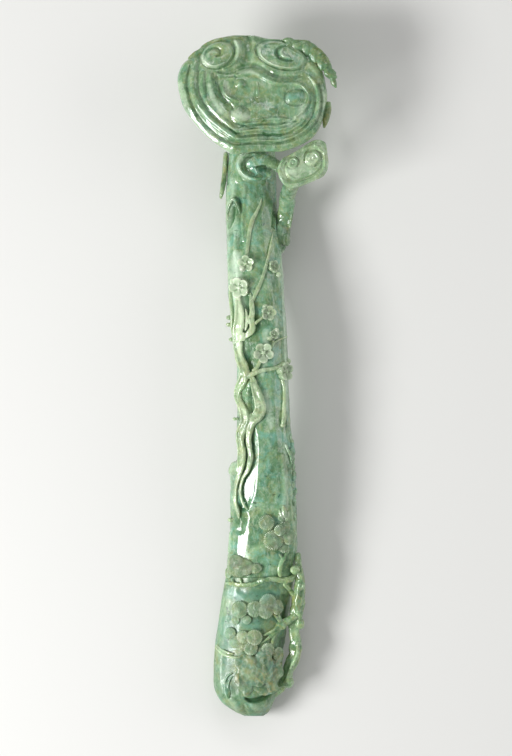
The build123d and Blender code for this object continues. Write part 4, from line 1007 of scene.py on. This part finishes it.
bud_stalk_shapes = [
    limb([(281.4, 378, 1.7, 0.6), (283.2, 388, 1.9, 0.8), (283.4, 398, 2.0, 0.9), (283, 408, 2.3, 1.0),
          (282.8, 417, 2.6, 1.1), (282.3, 423, 2.2, 0.8), (282, 427, 1.2, 0.3)], flat=0.9, knots=0.08, seed=11.0),
    pebble(skin(282.2, 425.2, 0.4)[0], (1.6, 1.4, 1.2), 0.2, 6.0),
]
fused("prunus_bud_stalk", bud_stalk_shapes, branch_jade, voxel=0.4, smoothing=2)
for node, seed, rows in (
    ("prunus_left_twig", 24, [
        (261.6, 197.6, 0.6, 0.2), (260, 204, 1.3, 0.4), (256.4, 212, 1.8, 0.5), (252.4, 220, 2.3, 0.6),
        (250, 229, 2.2, 0.6), (248.6, 240, 2.0, 0.6), (247.6, 249, 1.9, 0.6), (246.8, 258, 1.7, 0.5)]),
    ("prunus_right_twig", 25, [
        (272.3, 233, 0.6, 0.3), (271.2, 240, 1.0, 0.5), (269.4, 249, 1.4, 0.7), (267.2, 259.6, 1.6, 0.8),
        (265, 268.5, 1.9, 0.8), (261.4, 280.3, 1.9, 0.7), (256.8, 291, 2.1, 0.7), (252.2, 302, 1.9, 0.8)]),
):
    fused(node, [limb(rows, flat=0.55, knots=0.1, seed=seed)], branch_jade, voxel=0.34, smoothing=1)
twig_shapes = [
    limb([(254.5, 324.5, 1.9, 1.0), (257.6, 321.4, 1.6, 1.2), (261.4, 318.6, 1.5, 1.3),
          (265, 315.4, 1.5, 1.2)], seed=1.5),
    limb([(271.6, 345.6, 1.0, 0.6), (276, 341.2, 1.2, 0.9), (281.5, 338.4, 1.1, 1.0),
          (288.6, 335.8, 1.1, 0.8)], seed=2.5),
    limb([(252.6, 371.4, 2.2, 1.1), (256.6, 368.6, 2.0, 1.3), (259, 364.6, 1.9, 1.4),
          (260.4, 359.6, 1.9, 1.4)], seed=3.5),
    limb([(273, 340.5, 1.4, 0.7), (272.2, 345, 1.6, 0.6), (270.4, 349.5, 1.0, 0.3)], seed=4.5),
]
fused("prunus_blossom_twigs", twig_shapes, branch_jade, voxel=0.36, smoothing=1)

# Blossoms: open plum flowers with five dished petals round a heart of stamens, some seen half
# side-on, in the whitest part of the stone.
blossom_jade = jade(
    "blossom_jade", tint=(1.0, 1.01, 0.96), white=0.8, russet=0.15, turquoise=0.05, gloss=0.28, bleach=0.24,
    coat=0.12)


def petals(x, y, reach, turn, lift, lean, squeeze):
    """Closed flower of dished petals on the trunk's skin, and its marks: painted highlight on the raised petal rims
    and heart, painted shade in the creases and on the back; reach in picture units.
    """
    centre, normal = skin(x, y, lift)
    normal = (normal + Vector((lean[0], lean[1], 0))).normalized()
    side = Vector((0, 1, 0)).cross(normal).normalized()
    ahead = normal.cross(side)
    reach = reach * column_width * millimetre
    petal_count, sides, count = 5, 70, 15
    back = ((1.0, 0.22), (0.96, 0.5), (0.85, 0.8), (0.7, 1.2), (0.4, 1.5))  # share and drop of each ring
    rings, marks = [], []
    for level in range(count + len(back)):
        share, drop = ((level + 1) / count, 0.0) if level < count else back[level - count]
        ring = []
        for k in range(sides):
            angle = 2 * math.pi * k / sides
            wave = abs(math.cos(petal_count * (angle - math.radians(turn)) / 2))
            edge = 0.66 + 0.34 * wave ** 0.55
            radius = share * (edge if share > 0.4 else edge * (share / 0.4) + (1 - share / 0.4) * 0.8)
            dish = 0.10 + 0.26 * math.sin(share ** 2.2 * math.pi * 0.5)
            crease = -0.16 * (1 - wave) ** 2 * smooth(share * 1.6)
            heart = 0.26 * smooth((0.26 - share) / 0.10) + 0.07 * smooth((0.36 - abs(share - 0.30) * 5) * 1.5) * (
                0.5 + 0.5 * math.cos(3 * petal_count * angle))
            height = dish + crease + heart - drop
            ring.append(centre + reach * (
                side * math.cos(angle) * radius * squeeze + ahead * math.sin(angle) * radius + normal * height))
            # Painted highlight on the raised petal rims and heart, painted shade in the creases between petals and on
            # the back
            painted_petal_light = 0.6 * smooth((share - 0.66) / 0.3) + 0.45 * smooth((0.28 - share) / 0.12) - 0.5 * (1 - wave) ** 2
            marks.append(painted_petal_light - 0.17 if level < count else -0.2)
        rings.append(ring)
    return skin_of(rings), marks + [0.3, 0.0]


flowers, marks = [], []
for x, y, reach, turn, lift, lean, squeeze in [
    (246.2, 263.2, 8.6, 20, 0.7, (0.1, -0.2), 1.0), (272.8, 266.6, 6.6, 60, 0.7, (0.2, 0.2), 0.95),
    (240.4, 287.6, 10.6, 35, 0.8, (0.1, -0.1), 1.0), (267.8, 312.8, 7.8, 80, 1.1, (0.1, -0.2), 1.0),
    (273.4, 334.6, 5.0, 10, 0.9, (0.0, 0.3), 1.0), (263.2, 352.6, 10.4, 54, 1.9, (0.1, -0.1), 1.0),
    (283.2, 371.4, 9.6, 25, 1.4, (0.1, 0.0), 1.0),
]:
    flower, flower_marks = petals(x, y, reach, turn, lift, lean, squeeze)
    flowers.append(flower)
    marks += flower_marks
for i, (x, y, lift, size, lumps) in enumerate([
    (242.6, 268.6, 0.8, (1.7, 1.9, 1.3), 0.15), (234, 282, 0.8, (2.0, 2.2, 1.5), 0.2),
    (265, 306.5, 1.0, (1.7, 1.5, 1.4), 0.15), (288.2, 361.2, 1.0, (1.7, 1.8, 1.5), 0.1),
    (269.5, 338.5, 0.8, (1.8, 1.4, 1.3), 0.15), (276, 330, 0.8, (1.5, 1.6, 1.3), 0.15),
    (277.6, 274.6, 0.6, (1.5, 1.7, 1.1), 0.15), (289.4, 368.4, 0.9, (1.4, 1.6, 1.4), 0.1),
]):
    flowers.append(pebble(skin(x, y, lift)[0], size, lumps, i + 1.0))
points, faces = together(flowers)
marks += [0.2] * (len(points) - len(marks))
carved(stone("prunus_blossoms_carving", points, faces, blossom_jade, marks), "prunus_blossoms")

# Buds and thorns along the trunk's left edge, and the knotted bark that scallops its right edge.
# Both are ground from the trunk's own skin and overhang it a little.
buds = []
for x, y, r in (
    (229.2, 317.5, 2.1), (228.8, 324.6, 1.9), (231.4, 339.5, 1.9), (234.4, 418.9, 1.5), (230.4, 520, 1.9),
):
    place = standing(x, y, 1)
    inward = Vector((across(x) + 1.6 * millimetre, place.y, place.z))
    buds.append(pebble(place, (r * 0.9, r * 0.7, r * 0.8), 0.25, y))
    buds.append(pebble(inward, (r * 1.1, r * 0.6, r * 0.8), 0.2, x))
fused("edge_buds", buds, branch_jade, voxel=0.34, smoothing=2)
bark = []
for i, (x, y, r, up) in enumerate([
    (290.6, 437, 2.6, 3), (291.6, 444, 3.2, 2), (292.4, 452, 3.6, 3), (292.2, 460, 3.0, 1.5), (293.4, 466, 2.6, 3),
    (293.4, 476, 3.6, 2), (292.8, 484, 2.8, 3.5), (293.8, 492, 3.8, 1.5), (293.8, 501, 3.4, 3),
    (293.4, 509, 2.6, 1.5), (293.8, 517, 3.4, 2.5), (293.4, 525, 2.8, 1.5), (294, 534, 3.2, 3),
    (294.4, 541, 2.6, 1.5),
]):
    bark.append(pebble(standing(x - 0.6, y, up), (r * 0.62, r * 1.0, r * 0.8), 0.3, i * 2.3))
bark.append(limb([(284, 444, 1, 1.0), (286.5, 450, 1.6, 1.4), (289.4, 457, 1.6, 1.2), (290.6, 465, 0.9, 0.6)],
                 knots=0.1, seed=3.0))
fused("bark_edge", bark, trunk_jade, voxel=0.45, smoothing=4, grain=0.12)

# Pine: a branch laid across the shaft, an openwork stem undercut down the right side so that light
# shows behind it, and thin twigs that carry the needles.
pine_jade = jade("pine_jade", tint=(0.98, 1.0, 0.88), white=0.45, russet=0.5, turquoise=0.25, gloss=0.2)
cross_shapes = [
    limb([(225.6, 583.4, 1.2, 0.4), (231, 583.8, 1.9, 0.8), (238, 584.6, 2.1, 1.0), (246, 585, 2.2, 1.1),
          (254, 584, 2.3, 1.2), (261, 581.6, 2.6, 1.3), (268, 579.4, 2.6, 1.4), (275, 579.2, 2.7, 1.5),
          (282, 580.6, 2.8, 1.6), (289, 578.6, 3.0, 1.6), (294, 574, 3.2, 1.4),
          (296.5, 569.5, 3.0, 1.0)], flat=0.9, knots=0.28, seed=12.0, cords=0.07),
    pebble(skin(262, 580.4, 1.6)[0], (2.4, 1.9, 1.8), 0.3, 1.0),
    pebble(skin(284.5, 580.4, 1.8)[0], (2.2, 2.0, 2.0), 0.3, 2.0),
]
fused("pine_cross_branch", cross_shapes, pine_jade, voxel=0.4, smoothing=1, grain=0.14)
stem_shapes = [
    limb([(298.4, 552.5, 2.8, 3), (298.6, 562, 3.3, 4.5), (299.4, 572, 4.0, 5), (300, 582, 4.9, 5.2),
          (299.6, 592, 5.7, 5.2), (298.4, 602, 6.4, 5), (297.2, 611, 6.8, 4.6), (295.4, 620, 6.6, 4),
          (294.4, 629, 5.8, 3.4), (295.2, 638, 5.5, 3), (296, 647, 5.7, 3), (294.8, 656, 6.0, 3),
          (291.4, 665, 6.0, 2.6), (288, 674, 5.8, 1.8), (285, 682, 6.0, 1), (279, 689, 5.8, 0.4),
          (272, 695.6, 5.0, 0), (265, 701, 3.8, 0)], "spine", 0.86, 0.30, 14.0, cords=0.08, sides=24),
    pebble(standing(295, 570, 8.6), (3.0, 2.9, 2.0), 0.12, 9.0),
    pebble(Vector((across(288.6), along(683.5), trunk_at(683)[2] + 3 * millimetre)), (3.4, 3.2, 3.6), 0.3, 10.0),
    pebble(standing(301.8, 586, 6), (2.2, 3.2, 3.0), 0.3, 11.0),
    pebble(standing(300.8, 624, 4), (2.2, 3.4, 3.2), 0.3, 12.0),
    limb([(298, 628, 2.2, 6), (300, 617, 2.4, 7), (297, 606, 2.4, 8.2), (297.6, 594, 2.0, 8.6),
          (299.5, 583, 1.6, 8.4)], "spine", 1.0, 0.2, 15.0),
    limb([(286, 683, 1.8, 4.6), (291.4, 668, 2.2, 6), (297.4, 655, 2.0, 6.6),
          (297.6, 642, 1.8, 6.2)], "spine", 1.0, 0.2, 16.0),
]
fused("pine_stem", stem_shapes, pine_jade, voxel=0.45, smoothing=2, grain=0.16)
upper_limb_shapes = [
    limb([(282, 583, 1.8, 4.6), (286.4, 587.6, 2.3, 5), (291, 592, 2.6, 5), (295.4, 598, 2.8, 5),
          (297.6, 606, 2.6, 5)],
         "spine", 1.0, 0.15, 17.0),
    limb([(283, 583.4, 2.2, 0.6), (287.6, 588.4, 2.4, 0.8), (290.4, 591.4, 2.0, 0.6)], knots=0.15, seed=17.5),
]
fused("pine_upper_limb", upper_limb_shapes, pine_jade, voxel=0.4, smoothing=1)
lower_limb_shapes = [
    limb([(298, 615, 3.4, 6.4), (292.6, 619, 3.9, 7.4), (288.4, 621.4, 4.1, 7.9), (284, 623.4, 4.1, 8.2),
          (280, 625.6, 3.8, 9.4), (276, 628.4, 2.6, 10.6)], "spine", 0.9, 0.22, 18.0, cords=0.08),
    limb([(291, 621, 2.8, 1.2), (286, 623, 2.6, 1.4), (281, 625.4, 3.0, 1.4), (276, 628.6, 2.4, 1.2),
          (270, 632.2, 1.9, 1.0), (262.6, 636, 1.0, 0.7)], knots=0.25, seed=19.0),
    limb([(279, 627.6, 2.2, 1.2), (273.6, 633.4, 1.9, 1.0), (268, 638.4, 1.6, 0.9),
          (261, 643.4, 0.9, 0.6)], knots=0.2, seed=20.0),
    limb([(279, 629, 1.8, 1.0), (273.6, 637, 1.6, 0.8), (271.4, 645, 1.7, 0.6)], knots=0.2, seed=21.0),
    pebble(skin(280, 626, 2.0)[0], (2.6, 2.4, 1.8), 0.35, 13.0),
]
fused("pine_lower_limb", lower_limb_shapes, pine_jade, voxel=0.4, smoothing=1, grain=0.1)
pine_twig_shapes = [
    limb([(279.4, 623, 1.8, 1.4), (275.4, 617.6, 1.4, 1.2), (271.4, 613.6, 1.2, 1.1),
          (266, 619, 0.7, 0.9)], seed=22.0),
    limb([(280.6, 623, 1.8, 1.4), (277.8, 615.4, 1.5, 1.2), (276.8, 608, 1.2, 1.1)], seed=23.0),
    limb([(279.6, 577.6, 1.8, 1.2), (278.8, 569.6, 2.5, 1.4), (280.8, 562, 2.4, 1.4), (284.6, 556, 1.9, 1.3),
          (287.6, 549, 1.5, 1.0)], knots=0.1, seed=24.0),
    limb([(278.6, 553.6, 1.0, 0.8), (281.4, 558.4, 1.4, 1.2), (282.4, 563, 1.2, 1.2)], seed=25.0),
    limb([(233, 578.6, 0.8, 1.0), (234.4, 582.6, 1.1, 1.2), (238, 585.4, 1.2, 1.4),
          (242.6, 586, 1.0, 1.4)], seed=26.0),
    limb([(240.6, 577.8, 0.9, 1.0), (241.4, 581.6, 1.2, 1.2), (242.8, 585.4, 1.2, 1.4)], seed=27.0),
]
fused("pine_twigs", pine_twig_shapes, pine_jade, voxel=0.34, smoothing=1)

# Needle clusters: the pine's needles are cut as round overlapping discs with fine lines that
# fan out from a raised heart. Their edges keep the russet and lavender of the stone's skin.
needle_jade = jade(
    "needle_jade", tint=(0.94, 0.94, 0.90), white=0.6, russet=0.42, turquoise=0.35, gloss=0.22, bleach=0.1, coat=0.25)


def needles(x, y, reach, lift, squeeze=1.0):
    """Closed ribbed disc of pine needles that follows the trunk's skin, and its marks: painted light and shade along
    the ribs, paler towards the rim, painted shade on the edge and back.
    """
    centre, normal = skin(x, y, lift)
    side = Vector((0, 1, 0)).cross(normal).normalized()
    ahead = normal.cross(side)
    thick = 2.6 / max(reach, 7.0)
    off_middle = (0.15, 0.1)
    reach = reach * column_width * millimetre
    turn = math.radians(x * 37 if squeeze == 1.0 else 0)
    c, s = math.cos(turn), math.sin(turn)
    middle, half_width, _, half_depth = trunk_at(y)
    crossing = min(((across(x) - middle) / half_width) ** 2, 0.8)
    roundness = (half_width ** 2 * (1 - crossing) + half_depth ** 2 * crossing) ** 1.5 / (half_width * half_depth)
    lines, points_per_line = max(18, int(reach / millimetre * 5.5)), 6
    sides, count = lines * points_per_line, 14
    back = ((1.0, 0.05), (0.97, 0.2), (0.9, 0.5), (0.6, 0.9))  # share and drop of each ring
    rings, marks = [], []
    for level in range(count + len(back)):
        share, drop = ((level + 1) / count, 0.0) if level < count else back[level - count]
        pale_rim = 0.16 * smooth((share - 0.7) / 0.15)
        # Painted light and shade along the ribs, paler towards the rim, painted shade round the edge and on the back
        marks += [
            -0.4 if level >= count - 1 else pale_rim + 0.16 * math.cos(2 * math.pi * k / points_per_line)
            for k in range(sides)
        ]
        ring = []
        for k in range(sides):
            angle = 2 * math.pi * k / sides
            rib = math.cos(lines * angle)
            edge = 1 + 0.02 * rib + 0.05 * noise.noise(Vector((math.cos(angle) * 1.5, math.sin(angle) * 1.5, x)))
            height = thick * (1 - 0.45 * share ** 2) + 0.05 * rib * smooth(share * 1.4)
            height += 0.05 * smooth((0.16 - share) / 0.1)
            height -= 0.06 * smooth((share - 0.9) / 0.1)
            if level >= count:
                height = thick * 0.4 - drop
            u = math.cos(angle) * share * edge + off_middle[0] * (1 - share)
            v = math.sin(angle) * share * edge * squeeze + off_middle[1] * (1 - share)
            beside, beyond = u * c - v * s, u * s + v * c
            droop = reach * beside * beside / (2 * roundness)
            ring.append(centre + reach * (side * beside + ahead * beyond + normal * (height - droop)))
        rings.append(ring)
    return skin_of(rings), marks + [0.2, 0.0]


cluster_rows = {
    "pine_needles_upper": [
        (266.5, 522.5, 8.2, 0.6), (284, 527, 6.5, 0.5), (273, 540, 10.5, 1.2), (288, 537, 8.0, 0.9),
        (283, 547, 6, 0.7), (279, 530, 6, 1.5), (281.4, 517, 4.6, 0.8)],
    "pine_needles_left": [
        (229.4, 573.4, 6.0, 0.6, 0.9), (254.6, 568.4, 7.8, 0.7, 0.66), (236.6, 562, 9.6, 0.7, 0.74),
        (240.4, 567.6, 15.0, 0.9, 0.66), (246.6, 571, 6.4, 1.5, 0.7)],
    "pine_needles_middle": [
        (235.8, 620.4, 4.4, 0.4), (254.8, 609, 8.4, 0.8), (240.2, 609.8, 8.6, 1.1), (268, 602.8, 9.2, 0.6),
        (276, 607.4, 7.8, 0.9), (265.4, 611.4, 7.8, 1.3), (247, 620, 4.6, 0.5)],
    "pine_needles_lower": [
        (230.8, 634, 6.4, 0.3), (235.6, 642, 6.6, 0.6), (243, 637.4, 6.8, 0.9), (250.6, 648.4, 7.4, 0.6),
        (254.2, 637.6, 8.2, 1.3), (241.6, 647, 5.2, 0.4), (277.4, 655, 7.6, 0.8), (267.6, 650, 7.2, 0.5)],
}
for node, discs in cluster_rows.items():
    shapes, marks = [], []
    for disc in discs:
        shape, shape_marks = needles(*disc)
        shapes.append(shape)
        marks += shape_marks
    if node == "pine_needles_upper":
        shapes += [
            leaf(skin(283, 511.5, 1.4)[0], 9, 3.6, 1.4, 95, 0, 0.6, 1.0),
            leaf(skin(285.8, 515.5, 1.2)[0], 7.5, 3.2, 1.2, 75, 0, 0.6, 2.0),
            leaf(skin(280.4, 513.6, 1.0)[0], 7, 2.8, 1.1, 112, 0, 0.6, 3.0),
        ]
    points, faces = together(shapes)
    marks += [0.1] * (len(points) - len(marks))
    carved(stone(node + "_carving", points, faces, needle_jade, marks), node)

# Foot: a lobed rock stands on the stump's face with a hollow cut under its near edge. Beside it
# a hooked scroll and a thin ridge run round the left side.
rock_jade = jade(
    "rock_jade", tint=(0.80, 0.77, 0.76), white=0.4, russet=0.7, turquoise=0.5, gloss=0.36, coat=0.08)
rock_flatness = 0.74
rock = []
for i, (x, y, a, b, h, lift) in enumerate([
    (259, 672, 20, 18, 2.6, -0.6), (245, 664, 11, 10, 2.2, 0.2), (262, 658, 13, 9, 2.2, 0.3),
    (276, 657, 7, 7, 2.6, 0.4), (271, 672, 12, 12, 2.6, 0.4), (264, 687, 14, 9, 2.6, 0.3),
    (244, 680, 10, 11, 2.2, 0.1), (253, 672, 9, 8, 2.0, 1.3), (264, 664, 6, 5, 1.6, 1.6),
    (250, 660, 6, 5, 1.6, 1.2), (258, 681, 7, 6, 1.8, 1.4), (270, 681, 6, 6, 1.6, 1.5), (247, 690, 7, 5, 1.8, 0.4),
    (263, 673, 5, 5, 1.6, 2.0), (246, 671, 5, 6, 1.4, 1.2), (276, 665, 5, 6, 1.6, 1.0),
]):
    centre, normal = skin(x, y, lift)
    rock.append(pebble(centre, (a * column_width, b * column_width, h * rock_flatness), 0.3, i * 1.9, i * 35))
fused("foot_rock", rock, rock_jade, voxel=0.5, smoothing=9, grain=0.34, grain_scale=480)
scroll = [
    limb([(232.4, 673.4, 0.9, 0.1), (229, 675, 1.2, 0.2), (226, 679, 1.3, 0.2), (224.6, 685, 1.3, 0.2),
          (224.8, 692, 1.3, 0.2), (226.6, 698, 1.1, 0.1), (230, 700.6, 0.8, 0)], flat=0.7, seed=28.0),
    limb([(233, 676.4, 0.7, 0), (230, 679.6, 1.0, 0.1), (228.4, 685, 1.0, 0.1), (228.4, 691, 1.0, 0.1),
          (230.4, 696, 0.7, 0)],
         flat=0.7, seed=29.0),
    pebble(skin(227.4, 687, -0.4)[0], (2.4, 7.4, 0.7), 0.1, 7.0),
]
fused("foot_scroll", scroll, foot_jade, voxel=0.36, smoothing=1)
ridge = [
    limb([(215.4, 646.4, 0.9, 0.5), (219, 650.4, 1.4, 0.7), (224, 654.4, 1.7, 0.9), (230, 656.8, 1.7, 0.9),
          (237, 657.8, 1.4, 0.8), (244, 657.4, 0.8, 0.5)], seed=30.0),
    limb([(216, 644.6, 0.6, 0.3), (221, 649, 1.0, 0.5), (227, 652.4, 1.2, 0.6), (234, 654.4, 0.8, 0.3)], seed=31.0),
]
fused("foot_ridge", ridge, branch_jade, voxel=0.34, smoothing=1)

# Carved elements under the finished pieces: each is of the same stone, so it shows the trunk's jade
# wherever it is seen without its finished piece.
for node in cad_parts.values():
    node.data.materials.clear()
    node.data.materials.append(trunk_jade)

# Studio: a plain pale paper table and three soft lights. A strong long one on the left draws the
# highlights on the polish, and two weak ones on the right and beyond the head fill the shadows.
bpy.ops.mesh.primitive_plane_add(size=6, location=(0, 0, -0.0002))
table = bpy.context.object
table.name = "table"
paper = bpy.data.materials.new("paper")
paper.use_nodes = True
shader = paper.node_tree.nodes["Principled BSDF"]
for socket, value in (("Base Color", (0.76, 0.76, 0.74, 1)), ("Roughness", 0.9), ("Specular IOR Level", 0.0)):
    shader.inputs[socket].default_value = value
table.data.materials.append(paper)

lights_aim = Vector((0, 0, 0.02))
for name, place, size, power in (
    ("left_light", (-1.14, -0.44, 0.90), (0.80, 0.44), 23.5),
    ("right_light", (1.5, 0.2, 0.75), (1.4, 0.9), 5.5),
    ("far_light", (0.1, 1.6, 1.4), (1.2, 0.4), 5),
):
    lamp = bpy.data.lights.new(name, "AREA")
    lamp.shape = "RECTANGLE"
    lamp.size, lamp.size_y = size
    lamp.energy = power
    light = bpy.data.objects.new(name, lamp)
    light.location = place
    light.rotation_euler = (lights_aim - Vector(place)).to_track_quat("-Z", "Y").to_euler()
    bpy.context.scene.collection.objects.link(light)

# The room's light is dimmer in reflections, so that the polish shows the lamps and not a grey veil.
room_light, reflected_light = 0.40, 0.10
world = bpy.data.worlds.new("studio")
bpy.context.scene.world = world
world.use_nodes = True
nodes, links = world.node_tree.nodes, world.node_tree.links
nodes["Background"].inputs["Color"].default_value = (1, 1, 1, 1)
rays = nodes.new("ShaderNodeLightPath")
dimmer = nodes.new("ShaderNodeMapRange")
dimmer.inputs["To Min"].default_value = room_light
dimmer.inputs["To Max"].default_value = reflected_light
links.new(rays.outputs["Is Glossy Ray"], dimmer.inputs["Value"])
links.new(dimmer.outputs["Result"], nodes["Background"].inputs["Strength"])

picture_middle, picture_rows = (256, 378), 756
camera_height, focus_height = 6.0, 0.03
camera = bpy.data.cameras.new("camera")
camera.sensor_fit = "VERTICAL"
camera.sensor_height = 36
camera.lens = camera.sensor_height * (camera_height - focus_height) / (picture_rows * row_height * millimetre)
camera.clip_end = 20
eye = bpy.data.objects.new("camera", camera)
eye.location = (across(picture_middle[0]), along(picture_middle[1]), camera_height)
bpy.context.scene.collection.objects.link(eye)
bpy.context.scene.camera = eye
bpy.context.scene.view_settings.view_transform = "Standard"
